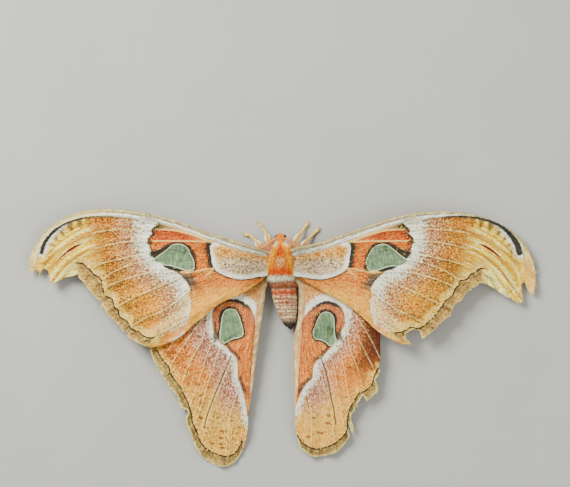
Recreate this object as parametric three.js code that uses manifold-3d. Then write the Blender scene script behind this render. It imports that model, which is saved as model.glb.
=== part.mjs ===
// Atlas moth at rest with its four wings spread flat, life size.
// Millimetres. +Y points to the head, +X to the moth's right, +Z up, and z = 0 is what it stands on.
import * as THREE from "three";
import { mergeVertices } from "three/addons/utils/BufferGeometryUtils.js";
import Module from "manifold-3d";

// Driving sizes of the whole animal
const GAP = 0.3; // between pieces that meet face to face
const FLOOR = 0;
const SEED = 29;

// Wings
const MEMBRANE = 0.65; // thickness of a wing away from its root
const ROOT_THICKNESS = 1.9;
const ROOT_REACH = 13; // over this distance from its root a wing thins to its membrane
const VEIN_RISE = 0.36;
const VEIN_HALF_WIDTH = 0.85;
const VEIN_STEP = 6;
const RIM_RISE = 0.26; // raised edge of a clear window
const WINDOW_SINK = 0.14;
const WINDOW_STEP = 3.6;
const UNDERSIDE_SHARE = 0.4; // part of a vein's rise that shows below
const MARGIN_STEP = 3.4;
const FILL_STEP = 8.4;
const FILL_ROWS = [-16, 6];
const FILL_COLUMNS = 16;
const FILL_SCATTER = 0.25;
const FILL_CLEARANCE = 3; // between a point of the fill and any other
const MARGIN_CLEARANCE = 1; // veins and fill stay this far inside a margin
const POINT_CLEARANCE = 0.8; // between two points of a membrane

const FORE = {
  span: 121,
  rootHeight: 10.2,
  archHeight: 14,
  tipHeight: 3.6,
  trailingDrop: 1.2,
  chord: 40,
  root: [8, -1],
};
const HIND = {
  span: 92,
  rootHeight: 7.3,
  archHeight: 9.6,
  tipHeight: 1.7,
  root: [7, -8],
};

// Body
const THORAX_RINGS = [
  // y, half width, lowest z, highest z
  [9, 1.6, 6.2, 10],
  [8.4, 3.1, 5, 11.2],
  [6.9, 4.9, 3.8, 12.3],
  [4.9, 6.3, 3, 13.3],
  [2.2, 7.2, 2.6, 14],
  [-1, 7.6, 2.5, 14.3],
  [-4, 7.5, 2.5, 14.1],
  [-6.8, 6.9, 2.6, 13.2],
  [-8.8, 6.3, 2.9, 12.2],
  [-9.8, 5.7, 3.3, 11.4],
];
const THORAX_SIDES = 28;
const STRIPE_RISE = 0.55; // the two raised bands of hair that spread back from the neck
const STRIPE_HALF_WIDTH = 1.3;
const STRIPE_FRONT = [1.3, 9];
const STRIPE_BACK = [6.6, -5];
const STRIPE_LEVELS = [8, 10.5]; // the bands rise in between these heights
const STRIPE_FLARE = 0.4; // part of a band's rise that leans outward

const ABDOMEN_FRONT = THORAX_RINGS.at(-1)[0] - GAP;
const ABDOMEN_BACK = -31.8;
const ABDOMEN_SEGMENTS = 8;
const ABDOMEN_SIDES = 20;
const ABDOMEN_HALF_WIDTH = 6.3;
const ABDOMEN_TIP_HALF_WIDTH = 2;
const ABDOMEN_FLATNESS = 0.82; // height over width
const ABDOMEN_FLOOR_GAP = 0.9;
const ABDOMEN_BEND = [1.3, 4.6]; // x of its centre line at the front and at the tip
const ABDOMEN_FRONT_LIFT = 1.3;
const ABDOMEN_BELLY_RISE = 0.35; // for each millimetre that it narrows
const ABDOMEN_NARROWING = 0.16; // even narrowing to the tip
const ABDOMEN_ROUNDING = 3.4; // a larger one keeps it broad further back
const SEGMENT_RINGS = 3;
const SEGMENT_BULGE = 0.055;
const SEGMENT_GROOVE = 0.033;

const HEAD_CENTRE = [0, 10.9, 8.1];
const HEAD_HALF = [2.2, 2.9, 2.3];
const HEAD_SIDES = [16, 12];
const PALP_LENGTH = 2.2;
const PALP_RADII = [0.75, 0.45];
const PALP_OFFSETS = [0.75, 0.9]; // from the middle, at its root and at its tip
const PALP_ROOT = [0.75, -1.1]; // share of the head's half length, and level from the head's centre
const PALP_SUNK = 0.8; // length inside the head
const PALP_RISE = 0.3;
const EYE_RADIUS = 1.25;
const EYE_PLACE = [1.85, 11.9, 7.5];
const EYE_SIDES = [12, 8];

// Antennae, laid back under the front edge of the forewings
const ANTENNA_ROUTE = [
  [1.2, 11.2, 9.2],
  [2.9, 10.9, 9],
  [5, 9.2, 8.5],
  [9, 6.6, 8.4],
  [14.5, 4.2, 8.5],
  [19.8, 2.9, 8.7],
];
const ANTENNA_RADII = [0.5, 0.3];
const ANTENNA_RINGS = 16;
const ANTENNA_SIDES = 6;
const RAMUS_COUNT = 15; // a side
const RAMUS_LENGTH = 2.5;
const RAMUS_SHORTEST = 0.35; // share of the full length
const RAMUS_RADII = [0.3, 0.16];
const RAMUS_SPAN = [0.2, 0.97]; // part of the stem that bears rami
const RAMUS_SWELL = [0.16, 0.9]; // part of a half wave that their lengths follow
const RAMUS_LEAN = 0.45; // forward
const RAMUS_SAG = 0.12;
const RAMUS_SPREAD = 0.12; // irregularity of their lengths

// Legs: centre line, radius at each of its points, for the right side
const LEGS = {
  foreleg: {
    left: [
      [3.2, 4.8, 5],
      [4.9, 7.2, 5.8],
      [5.5, 9, 5.2],
      [6.9, 13.7, 2.2],
      [8.5, 16.2, 0.75],
      [10.1, 18.3, 0.5],
    ],
    right: [
      [3.2, 4.8, 5],
      [5.4, 7.2, 5.8],
      [6.6, 9.2, 5.2],
      [10.2, 14.3, 2.2],
      [11.7, 16.5, 0.75],
      [13, 18.5, 0.5],
    ],
    radii: [1.3, 1.2, 1.1, 1.15, 1.6, 1.65, 1.2, 0.85, 0.75, 0.7, 0.55],
  },
  midleg: {
    left: [
      [4.2, 1.6, 4.8],
      [7.8, 5.2, 5.6],
      [10, 7.6, 5.2],
      [12.4, 10.6, 2.1],
      [14.8, 12.6, 0.75],
      [17.2, 13, 0.5],
    ],
    right: [
      [4.2, 1.6, 4.8],
      [7.8, 5, 5.6],
      [10.4, 7.6, 5.2],
      [13.5, 10.9, 2.1],
      [15.9, 13.3, 0.75],
      [18.2, 15.6, 0.5],
    ],
    radii: [1.3, 1.15, 1.1, 1.1, 1.2, 1.25, 1.1, 0.8, 0.7, 0.65, 0.55],
  },
  hindleg: {
    left: [
      [4.4, -3.2, 4.4],
      [8.2, -7, 4.6],
      [10.2, -10.6, 4.2],
      [11.8, -19, 1.9],
      [12.6, -24.4, 0.75],
      [13.2, -28.4, 0.5],
    ],
    right: [
      [4.4, -3.2, 4.4],
      [8.2, -7, 4.6],
      [10.4, -10.6, 4.2],
      [12, -19, 1.9],
      [12.9, -24.4, 0.75],
      [13.6, -28.4, 0.5],
    ],
    radii: [1.3, 1.1, 1.1, 1.05, 0.7, 0.55],
  },
};
const LEG_SIDES = 8;
const LEG_RINGS = 15;
const CLAW_LENGTH = 1.3;
const CLAW_SPREAD = 0.78; // from the middle at its tip
const CLAW_RADII = [0.36, 0.14];
const CLAW_TIP_LEVEL = 0.28;
const CLAW_SUNK = 0.4; // length inside the foot
const CLAW_SIDES = 5;

// Wing outlines by stretch, x counted outward. A smooth stretch is a curve through its points, and a
// torn one runs straight from nick to nick.
const OUTLINES = {
  forewing_left: [
    { smooth: true, through: [[4.5, 4.2], [8.8, 5.9], [33.5, 13.9], [62, 22.9], [83, 25.3], [99, 22.6],
      [111, 15.6], [118, 5.7], [119.3, -3.2]] },
    { smooth: false, through: [[115.4, -4.7], [112.8, -3.1], [110.3, -5.6], [109.1, -10.4]] },
    { smooth: true, through: [[105.7, -9], [100, -6.9], [95.7, -5.9]] },
    { smooth: false, through: [[94.6, -9.2], [90.5, -13.8], [84.9, -19.3], [84.9, -21], [80, -27.1],
      [76.2, -30.6], [72.9, -34.6], [69.6, -37.8]] },
    { smooth: true, through: [[65.3, -39.7], [58.2, -40.1], [49.2, -36.6], [40.6, -29.2], [31.1, -21.4],
      [20.2, -16.1], [8, -7.9], [4.5, -6]] },
  ],
  forewing_right: [
    { smooth: true, through: [[4.5, 5.4], [8.8, 7.2], [31, 13.6], [54.4, 21.4], [75, 24.2], [93, 22.2],
      [108, 15.9], [118, 5.5], [121.5, -6], [120.4, -15.7]] },
    { smooth: false, through: [[117.7, -12.8], [115.9, -9.3], [114.9, -11], [115.5, -18.2], [114, -19.9]] },
    { smooth: true, through: [[110.4, -17.4], [102.8, -13.4], [95.7, -9.8]] },
    { smooth: false, through: [[90.3, -13.2], [84.8, -19.2], [82, -21.4], [80.3, -25.6], [76.2, -28.5],
      [71.5, -33.5], [67.2, -36.4], [65.8, -32.7], [63, -32], [59.7, -34.4], [60.4, -37]] },
    { smooth: true, through: [[62.3, -38.9], [57.7, -38.9], [49.2, -34.9], [41.6, -28.7], [33, -21.4],
      [21.1, -14.5], [8.3, -7.6], [4.5, -6]] },
  ],
  hindwing_left: [
    { smooth: true, through: [[4.5, -4.4], [9, -4], [31.1, -12.3], [47, -22.5], [58, -32.6],
      [62.5, -39.4]] },
    { smooth: true, through: [[61, -45.6], [57, -53], [49.4, -63.4], [48.1, -68.4]] },
    { smooth: false, through: [[44.2, -70.5], [43.9, -72], [45.4, -74.6]] },
    { smooth: true, through: [[44.4, -78.4], [40.9, -87.4], [34.9, -94.8], [27.8, -97.6], [21.1, -95]] },
    { smooth: true, through: [[17.3, -87.4], [15.2, -74.1], [13.1, -58.4], [11.2, -42.8], [8.8, -26.6],
      [7.2, -15], [6.4, -11], [4.5, -9.4]] },
  ],
  hindwing_right: [
    { smooth: true, through: [[4.5, -4.4], [9, -4], [29.2, -10.9], [41, -20.5], [46.6, -29],
      [47.5, -39.4]] },
    { smooth: false, through: [[47.4, -47], [47.2, -53.8], [45.1, -55.9], [46.5, -60.3], [41.1, -66.3],
      [39.2, -63.2], [36.4, -68.6], [34, -73.8], [35, -80.8], [32.3, -76.5], [32.8, -83.5]] },
    { smooth: true, through: [[29.2, -88.6], [25, -91.6], [15.5, -93], [9.3, -88.6]] },
    { smooth: true, through: [[7.2, -79.8], [7, -70.8], [6.3, -53.7], [6.2, -40.9], [8.3, -26],
      [8.8, -14.4], [7.4, -10.6], [4.5, -9.4]] },
  ],
};

// Main veins, from the root outward, the same on both sides
const FORE_VEINS = [
  [[7, 2.8], [28.7, 8.3], [57.2, 17.6], [81, 21.4], [95.2, 20.4], [107, 14.5], [115, 3]],
  [[7, 0], [19.2, 2.8], [40.6, 12.3], [62, 15.4], [85.7, 14.5], [100, 8.6], [111, -0.5]],
  [[32.1, 8.8], [50.1, 10], [71.5, 9.7], [91.4, 4.8], [108, -8]],
  [[47.7, 9.4], [62, 4.5], [83.4, -0.2], [94.5, -7.5]],
  [[60.6, 1.4], [71.5, -1.4], [90, -13.4]],
  [[7, -2.6], [32.1, -2.8], [54.9, -4.5], [76.2, -9], [86.5, -17]],
  [[38.2, -4], [53.4, -10], [69.1, -16.6], [82, -24]],
  [[32.1, -3.4], [45.4, -15.2], [62, -25.6], [74, -32.2]],
  [[7, -5.6], [19.2, -12], [42, -25.4], [57.2, -33.8], [66, -37.6]],
];
const HIND_VEINS = [
  [[7, -5.4], [21.6, -10.9], [35.9, -19.7], [45.4, -30.5], [57.6, -49.5]],
  [[19.2, -11.2], [33, -23], [42.5, -39.9], [53, -56]],
  [[7, -7], [20, -15], [31, -26], [36.8, -40], [48.2, -62]],
  [[31.6, -32.3], [34.4, -46], [43.4, -70]],
  [[28.7, -40.4], [34, -60], [41.6, -83]],
  [[7, -8.4], [14.2, -19], [14.6, -36], [23, -48], [32, -72], [36.8, -91]],
  [[10.4, -16], [12.6, -36], [20, -58], [25.6, -95]],
];

// Clear windows, x counted outward: a rounded triangle each
const WINDOWS = {
  forewing_left: [[60.4, 0.9], [52, 7.6], [46.6, 8.3], [42.5, 3.3], [41.2, -3.4], [46.5, -3.3], [54, -1.7]],
  forewing_right: [[60.4, 0.6], [51.4, 7.6], [45.8, 8], [41.6, 2.8], [41, -3.4], [46.5, -3.4], [54, -1.8]],
  hindwing_left: [[25.6, -22.8], [19.6, -25.6], [17.6, -34.3], [20.4, -36.2], [26.4, -38.5], [29, -35],
    [27.8, -27]],
  hindwing_right: [[22.4, -23.8], [25.2, -26.4], [26, -36.6], [24.1, -39.8], [16.6, -36.7], [15.5, -33],
    [18.6, -25.6]],
};

const FINISHES = {
  forewing: { color: 0xb9794a, roughness: 0.85 },
  hindwing: { color: 0xb58a6a, roughness: 0.85 },
  thorax: { color: 0xc8562c, roughness: 0.9 },
  abdomen: { color: 0xc98a62, roughness: 0.9 },
  head: { color: 0xb0705c, roughness: 0.9 },
  eye: { color: 0x2a1c16, roughness: 0.2 },
  antenna: { color: 0xa87440, roughness: 0.7 },
  leg: { color: 0xd8b878, roughness: 0.85 },
};

const wasm = await Module();
wasm.setup();

let state = SEED;
function draw() {
  state = (state * 1664525 + 1013904223) % 4294967296;
  return state / 4294967296 - 0.5;
}

const lerp = THREE.MathUtils.lerp;
const clamp = THREE.MathUtils.clamp;
const smoothstep = THREE.MathUtils.smoothstep;

// Solids

function toSolid(geometry) {
  const bare = geometry.clone();
  bare.deleteAttribute("normal");
  bare.deleteAttribute("uv");
  const merged = mergeVertices(bare, 1e-4);
  const mesh = new wasm.Mesh({
    numProp: 3,
    vertProperties: new Float32Array(merged.attributes.position.array),
    triVerts: new Uint32Array(merged.index.array),
  });
  return new wasm.Manifold(mesh);
}

function join(geometries) {
  return geometries.map(toSolid).reduce((whole, piece) => whole.add(piece));
}

function largest(solid) {
  return solid.decompose().reduce((best, piece) => (piece.volume() > best.volume() ? piece : best));
}

function toGeometry(solid) {
  const { vertProperties, triVerts } = largest(solid).getMesh();
  const geometry = new THREE.BufferGeometry();
  geometry.setAttribute("position", new THREE.BufferAttribute(new Float32Array(vertProperties), 3));
  geometry.setIndex(new THREE.BufferAttribute(new Uint32Array(triVerts), 1));
  geometry.computeVertexNormals();
  return geometry;
}

function fromParts(points, triangles) {
  const geometry = new THREE.BufferGeometry();
  geometry.setAttribute("position", new THREE.Float32BufferAttribute(points.flat(), 3));
  geometry.setIndex(triangles.flat());
  geometry.computeVertexNormals();
  return geometry;
}

// A closed skin over a row of rings that hold the same number of points each
function skinRings(rings) {
  const sides = rings[0].length;
  const points = rings.flat();
  const triangles = [];
  for (let ring = 0; ring < rings.length - 1; ring += 1) {
    for (let side = 0; side < sides; side += 1) {
      const next = (side + 1) % sides;
      const a = ring * sides + side;
      const b = ring * sides + next;
      triangles.push([a, b, b + sides], [a, b + sides, a + sides]);
    }
  }
  const middle = (ring) => [0, 1, 2].map((axis) => ring.reduce((sum, p) => sum + p[axis], 0) / sides);
  const first = points.push(middle(rings[0])) - 1;
  const last = points.push(middle(rings.at(-1))) - 1;
  for (let side = 0; side < sides; side += 1) {
    const next = (side + 1) % sides;
    const end = (rings.length - 1) * sides;
    triangles.push([first, next, side], [last, end + side, end + next]);
  }
  return fromParts(points, triangles);
}

// A tapered tube along a smooth centre line
function tube(route, radii, rings, sides) {
  const knots = route.map((p) => new THREE.Vector3(...p));
  const line = new THREE.CatmullRomCurve3(knots, false, "centripetal");
  const up = new THREE.Vector3(0, 0, 1);
  const loops = [];
  for (let ring = 0; ring <= rings; ring += 1) {
    const along = ring / rings;
    const place = line.getPoint(along);
    const ahead = line.getTangent(along);
    const across = new THREE.Vector3().crossVectors(ahead, up).normalize();
    const over = new THREE.Vector3().crossVectors(across, ahead);
    const stretch = Math.min(along * (radii.length - 1), radii.length - 1.001);
    const radius = lerp(radii[Math.floor(stretch)], radii[Math.floor(stretch) + 1], stretch % 1);
    const loop = [];
    for (let side = 0; side < sides; side += 1) {
      const turn = (side / sides) * 2 * Math.PI;
      const point = place.clone();
      point.addScaledVector(across, radius * Math.cos(turn));
      point.addScaledVector(over, radius * Math.sin(turn));
      loop.push(point.toArray());
    }
    loops.push(loop);
  }
  return { geometry: skinRings(loops.map((loop) => loop.reverse())), line };
}

// A tapered rod from one point to another
function rod(from, to, radii, sides) {
  const start = new THREE.Vector3(...from);
  const span = new THREE.Vector3(...to).sub(start);
  const geometry = new THREE.CylinderGeometry(radii[1], radii[0], span.length(), sides);
  geometry.translate(0, span.length() / 2, 0);
  const turn = new THREE.Quaternion().setFromUnitVectors(new THREE.Vector3(0, 1, 0), span.normalize());
  geometry.applyQuaternion(turn);
  geometry.translate(...start.toArray());
  return geometry;
}

// Heights of the middle of each wing

function bow(low, arch, high, along) {
  const rest = 1 - along;
  return low * rest * rest + 2 * arch * along * rest + high * along * along;
}

function foreHeight(x, y) {
  const drop = FORE.trailingDrop * clamp(-y / FORE.chord, 0, 1) ** 2;
  return bow(FORE.rootHeight, FORE.archHeight, FORE.tipHeight, clamp(x / FORE.span, 0, 1)) - drop;
}

function hindHeight(x, y) {
  const along = clamp(Math.hypot(x - HIND.root[0], y - HIND.root[1]) / HIND.span, 0, 1);
  return bow(HIND.rootHeight, HIND.archHeight, HIND.tipHeight, along);
}

// Flat outlines

function curveThrough(points, step, closed = false) {
  const knots = points.map(([x, y]) => new THREE.Vector3(x, y, 0));
  const curve = new THREE.CatmullRomCurve3(knots, closed, "centripetal");
  const count = Math.max(1, Math.round(curve.getLength() / step));
  const spaced = curve.getSpacedPoints(count).map((p) => [p.x, p.y]);
  return closed ? spaced.slice(0, -1) : spaced;
}

function straightThrough(points, step) {
  const spaced = [points[0]];
  for (let i = 1; i < points.length; i += 1) {
    const [ax, ay] = points[i - 1];
    const [bx, by] = points[i];
    const count = Math.max(1, Math.round(Math.hypot(bx - ax, by - ay) / step));
    for (let k = 1; k <= count; k += 1) {
      spaced.push([lerp(ax, bx, k / count), lerp(ay, by, k / count)]);
    }
  }
  return spaced;
}

function traceOutline(stretches) {
  const outline = [];
  for (const { smooth, through } of stretches) {
    if (outline.length) {
      outline.push(...straightThrough([outline.pop(), through[0]], MARGIN_STEP).slice(0, -1));
    }
    const follow = smooth ? curveThrough : straightThrough;
    outline.push(...follow(through, MARGIN_STEP));
  }
  const closing = straightThrough([outline.at(-1), outline[0]], MARGIN_STEP);
  return outline.concat(closing.slice(1, -1));
}

function inside([x, y], outline) {
  let within = false;
  outline.forEach(([ax, ay], i) => {
    const [bx, by] = outline[(i + 1) % outline.length];
    if (ay > y !== by > y && x < ((bx - ax) * (y - ay)) / (by - ay) + ax) {
      within = !within;
    }
  });
  return within;
}

function distanceTo([x, y], outline) {
  let nearest = Infinity;
  outline.forEach(([ax, ay], i) => {
    const [bx, by] = outline[(i + 1) % outline.length];
    const long = (bx - ax) ** 2 + (by - ay) ** 2;
    const along = clamp(((x - ax) * (bx - ax) + (y - ay) * (by - ay)) / long, 0, 1);
    nearest = Math.min(nearest, Math.hypot(x - lerp(ax, bx, along), y - lerp(ay, by, along)));
  });
  return nearest;
}

// Delaunay triangles of a flat set of points

function circleOf(points, [a, b, c]) {
  const [ax, ay] = points[a];
  const bx = points[b][0] - ax;
  const by = points[b][1] - ay;
  const cx = points[c][0] - ax;
  const cy = points[c][1] - ay;
  const twice = 2 * (bx * cy - by * cx);
  const ux = (cy * (bx * bx + by * by) - by * (cx * cx + cy * cy)) / twice;
  const uy = (bx * (cx * cx + cy * cy) - cx * (bx * bx + by * by)) / twice;
  return { x: ax + ux, y: ay + uy, reach: ux * ux + uy * uy };
}

function delaunay(flat) {
  const far = 4000;
  const points = [...flat, [-far, -far], [far, -far], [0, far]];
  const frame = [flat.length, flat.length + 1, flat.length + 2];
  let triangles = [{ corners: frame, circle: circleOf(points, frame) }];
  flat.forEach(([x, y], index) => {
    const edges = new Map();
    triangles = triangles.filter(({ corners, circle }) => {
      if ((x - circle.x) ** 2 + (y - circle.y) ** 2 >= circle.reach) {
        return true;
      }
      for (let i = 0; i < 3; i += 1) {
        const from = corners[i];
        const to = corners[(i + 1) % 3];
        if (!edges.delete(`${to} ${from}`)) {
          edges.set(`${from} ${to}`, [from, to]);
        }
      }
      return false;
    });
    for (const [from, to] of edges.values()) {
      const corners = [from, to, index];
      triangles.push({ corners, circle: circleOf(points, corners) });
    }
  });
  const all = triangles.map(({ corners }) => corners);
  return all.filter((corners) => corners.every((i) => i < flat.length));
}

// The margin is split until each of its edges is an edge of the triangles
function meshOutline(outline, inner) {
  let margin = outline;
  for (;;) {
    const flat = [...margin, ...inner];
    const triangles = delaunay(flat);
    const edges = new Set(triangles.flatMap(([a, b, c]) => [[a, b], [b, c], [c, a]]).flatMap(
      ([a, b]) => [`${a} ${b}`, `${b} ${a}`]));
    const refined = [];
    margin.forEach((point, i) => {
      const next = (i + 1) % margin.length;
      refined.push(point);
      if (!edges.has(`${i} ${next}`)) {
        refined.push([(point[0] + margin[next][0]) / 2, (point[1] + margin[next][1]) / 2]);
      }
    });
    if (refined.length === margin.length) {
      const kept = triangles.filter((corners) => inside(
        [0, 1].map((axis) => corners.reduce((sum, i) => sum + flat[i][axis], 0) / 3), margin));
      return { margin, triangles: kept };
    }
    margin = refined;
  }
}

// Points of the membrane inside its margin, each with its rise over the plain surface
function membranePoints(outline, window, veins) {
  const placed = [];
  const place = (x, y, rise, clearance) => {
    const free = placed.every((p) => Math.hypot(p[0] - x, p[1] - y) >= clearance);
    if (free && inside([x, y], outline) && distanceTo([x, y], outline) >= MARGIN_CLEARANCE) {
      placed.push([x, y, rise]);
    }
  };
  const rim = curveThrough(window, WINDOW_STEP, true);
  const middle = [0, 1].map((axis) => rim.reduce((sum, p) => sum + p[axis], 0) / rim.length);
  const scaleRim = (shift, rise) => {
    for (const [x, y] of rim) {
      const reach = Math.hypot(x - middle[0], y - middle[1]);
      const share = 1 + shift / reach;
      place(lerp(middle[0], x, share), lerp(middle[1], y, share), rise, POINT_CLEARANCE);
    }
  };
  scaleRim(0, RIM_RISE);
  scaleRim(-VEIN_HALF_WIDTH, -WINDOW_SINK);
  scaleRim(VEIN_HALF_WIDTH, 0);
  for (const vein of veins) {
    const stations = curveThrough(vein, VEIN_STEP);
    stations.forEach(([x, y], i) => {
      if (inside([x, y], rim)) {
        return;
      }
      const [bx, by] = stations[Math.max(i - 1, 0)];
      const [cx, cy] = stations[Math.min(i + 1, stations.length - 1)];
      const long = Math.hypot(cx - bx, cy - by);
      const across = [(by - cy) / long, (cx - bx) / long];
      place(x, y, lerp(VEIN_RISE, VEIN_RISE / 2, i / stations.length), POINT_CLEARANCE);
      for (const side of [-VEIN_HALF_WIDTH, VEIN_HALF_WIDTH]) {
        place(x + across[0] * side, y + across[1] * side, 0, POINT_CLEARANCE);
      }
    });
  }
  const rows = Math.sqrt(3) / 2;
  for (let row = FILL_ROWS[0]; row < FILL_ROWS[1]; row += 1) {
    for (let column = 0; column < FILL_COLUMNS; column += 1) {
      const x = (column + (row % 2) / 2) * FILL_STEP + draw() * FILL_SCATTER;
      const y = row * FILL_STEP * rows + draw() * FILL_SCATTER;
      place(x, y, inside([x, y], rim) ? -WINDOW_SINK : 0, FILL_CLEARANCE);
    }
  }
  return placed;
}

function wing(name, shape, height, veins) {
  const side = name.endsWith("left") ? -1 : 1;
  const traced = traceOutline(OUTLINES[name]);
  const inner = membranePoints(traced, WINDOWS[name], veins);
  const { margin, triangles } = meshOutline(traced, inner);
  const flat = [...margin.map(([x, y]) => [x, y, 0]), ...inner];
  const count = flat.length;
  const surface = (sign, share) => flat.map(([x, y, rise]) => {
    const fromRoot = Math.hypot(x - shape.root[0], y - shape.root[1]);
    const thickness = lerp(ROOT_THICKNESS, MEMBRANE, smoothstep(fromRoot, 0, ROOT_REACH));
    return [side * x, y, height(x, y) + sign * (thickness / 2 + share * rise)];
  });
  const points = [...surface(1, 1), ...surface(-1, UNDERSIDE_SHARE)];
  const faces = [];
  const isUp = (a, b, c) => (flat[b][0] - flat[a][0]) * (flat[c][1] - flat[a][1])
    > (flat[b][1] - flat[a][1]) * (flat[c][0] - flat[a][0]);
  for (const [a, b, c] of triangles) {
    const [p, q] = isUp(a, b, c) === (side > 0) ? [b, c] : [c, b];
    faces.push([a, p, q], [a + count, q + count, p + count]);
  }
  const isLeftTurning = THREE.ShapeUtils.area(margin.map(([x, y]) => new THREE.Vector2(x, y))) > 0;
  margin.forEach((_, i) => {
    const j = (i + 1) % margin.length;
    const [from, to] = isLeftTurning === (side > 0) ? [i, j] : [j, i];
    faces.push([from, from + count, to + count], [from, to + count, to]);
  });
  return toSolid(fromParts(points, faces));
}

// Body

function loftBody(rings, sides, grow, reshape) {
  const loops = rings.map(([y, halfWidth, low, high, x = 0], index) => {
    const end = index === 0 ? 1 : index === rings.length - 1 ? -1 : 0;
    const loop = [];
    for (let side = 0; side < sides; side += 1) {
      const turn = (side / sides) * 2 * Math.PI;
      const across = Math.sin(turn) * (halfWidth + grow);
      const over = Math.cos(turn) * ((high - low) / 2 + grow);
      const point = [x + across, y + end * grow, (low + high) / 2 + over];
      loop.push(reshape ? reshape(point) : point);
    }
    return loop;
  });
  return skinRings(loops.reverse());
}

function raiseStripe([x, y, z]) {
  const along = clamp((STRIPE_FRONT[1] - y) / (STRIPE_FRONT[1] - STRIPE_BACK[1]), 0, 1);
  const off = Math.abs(x) - lerp(STRIPE_FRONT[0], STRIPE_BACK[0], along);
  const upper = smoothstep(z, ...STRIPE_LEVELS);
  const rise = STRIPE_RISE * Math.exp(-((off / STRIPE_HALF_WIDTH) ** 2)) * upper;
  return [x + Math.sign(x) * rise * STRIPE_FLARE, y, z + rise];
}

function thorax(grow = 0) {
  return toSolid(loftBody(THORAX_RINGS, THORAX_SIDES, grow, raiseStripe));
}

function abdomenRings() {
  const rings = [];
  const steps = ABDOMEN_SEGMENTS * SEGMENT_RINGS;
  const closing = 1 - (ABDOMEN_TIP_HALF_WIDTH / ABDOMEN_HALF_WIDTH) ** 2;
  for (let i = 0; i <= steps; i += 1) {
    const along = i / steps;
    const ringed = i % SEGMENT_RINGS === 0 ? 1 - SEGMENT_GROOVE : 1 + SEGMENT_BULGE;
    const taper = Math.sqrt(1 - along ** ABDOMEN_ROUNDING * closing) * (1 - ABDOMEN_NARROWING * along);
    const half = ABDOMEN_HALF_WIDTH * taper * ringed;
    const lift = ABDOMEN_FRONT_LIFT * (1 - along);
    const low = ABDOMEN_FLOOR_GAP + lift + (ABDOMEN_HALF_WIDTH - half) * ABDOMEN_BELLY_RISE;
    const x = lerp(...ABDOMEN_BEND, along);
    rings.push([lerp(ABDOMEN_FRONT, ABDOMEN_BACK, along), half, low, low + 2 * half * ABDOMEN_FLATNESS, x]);
  }
  return rings;
}

function abdomen(grow = 0) {
  return toSolid(loftBody(abdomenRings(), ABDOMEN_SIDES, grow));
}

function headShape(grow = 0) {
  const skull = new THREE.SphereGeometry(1, ...HEAD_SIDES);
  skull.rotateX(Math.PI / 2);
  skull.scale(...HEAD_HALF.map((half) => half + grow));
  skull.translate(...HEAD_CENTRE);
  const y = HEAD_CENTRE[1] + HEAD_HALF[1] * PALP_ROOT[0];
  const z = HEAD_CENTRE[2] + PALP_ROOT[1];
  const palps = [-1, 1].map((side) => {
    const root = [side * PALP_OFFSETS[0], y - PALP_SUNK, z];
    const tip = [side * PALP_OFFSETS[1], y + PALP_LENGTH, z + PALP_RISE];
    return rod(root, tip, PALP_RADII.map((radius) => radius + grow), 8);
  });
  return join([skull, ...palps]);
}

function eyeBall(side, grow = 0) {
  const ball = new THREE.SphereGeometry(EYE_RADIUS + grow, ...EYE_SIDES);
  ball.translate(side * EYE_PLACE[0], EYE_PLACE[1], EYE_PLACE[2]);
  return toSolid(ball);
}

function antenna(side) {
  const route = ANTENNA_ROUTE.map(([x, y, z]) => [side * x, y, z]);
  const { geometry, line } = tube(route, ANTENNA_RADII, ANTENNA_RINGS, ANTENNA_SIDES);
  const pieces = [geometry];
  for (let i = 0; i < RAMUS_COUNT; i += 1) {
    const share = i / (RAMUS_COUNT - 1);
    const along = lerp(...RAMUS_SPAN, share);
    const place = line.getPoint(along);
    const ahead = line.getTangent(along);
    const across = new THREE.Vector3(-ahead.y, ahead.x, 0).normalize();
    const swell = lerp(RAMUS_SHORTEST, 1, Math.sin(Math.PI * lerp(...RAMUS_SWELL, share)));
    for (const hand of [-1, 1]) {
      const reach = RAMUS_LENGTH * swell * (1 + draw() * RAMUS_SPREAD);
      const tip = place.clone().addScaledVector(across, hand * reach);
      tip.addScaledVector(ahead, reach * RAMUS_LEAN);
      tip.z -= reach * RAMUS_SAG;
      pieces.push(rod(place.toArray(), tip.toArray(), RAMUS_RADII, 3));
    }
  }
  return join(pieces);
}

function leg(name, sideName) {
  const side = sideName === "left" ? -1 : 1;
  const { radii, [sideName]: through } = LEGS[name];
  const route = through.map(([x, y, z]) => [side * x, y, z]);
  const { geometry, line } = tube(route, radii, LEG_RINGS, LEG_SIDES);
  const foot = line.getPoint(1);
  const ahead = line.getTangent(1);
  const across = new THREE.Vector3(-ahead.y, ahead.x, 0).normalize();
  const claws = [-1, 1].map((hand) => {
    const tip = foot.clone().addScaledVector(ahead, CLAW_LENGTH);
    tip.addScaledVector(across, hand * CLAW_SPREAD);
    tip.z = CLAW_TIP_LEVEL;
    const start = foot.clone().addScaledVector(ahead, -CLAW_SUNK);
    return rod(start.toArray(), tip.toArray(), CLAW_RADII, CLAW_SIDES);
  });
  const below = new THREE.BoxGeometry(60, 100, 10);
  below.translate(0, 0, FLOOR - 5);
  return join([geometry, ...claws]).subtract(toSolid(below));
}

// Assembly

function piece(name, kind, solid) {
  const finish = new THREE.MeshStandardMaterial({ metalness: 0, ...FINISHES[kind] });
  const mesh = new THREE.Mesh(toGeometry(solid), finish);
  mesh.name = name;
  return mesh;
}

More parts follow.
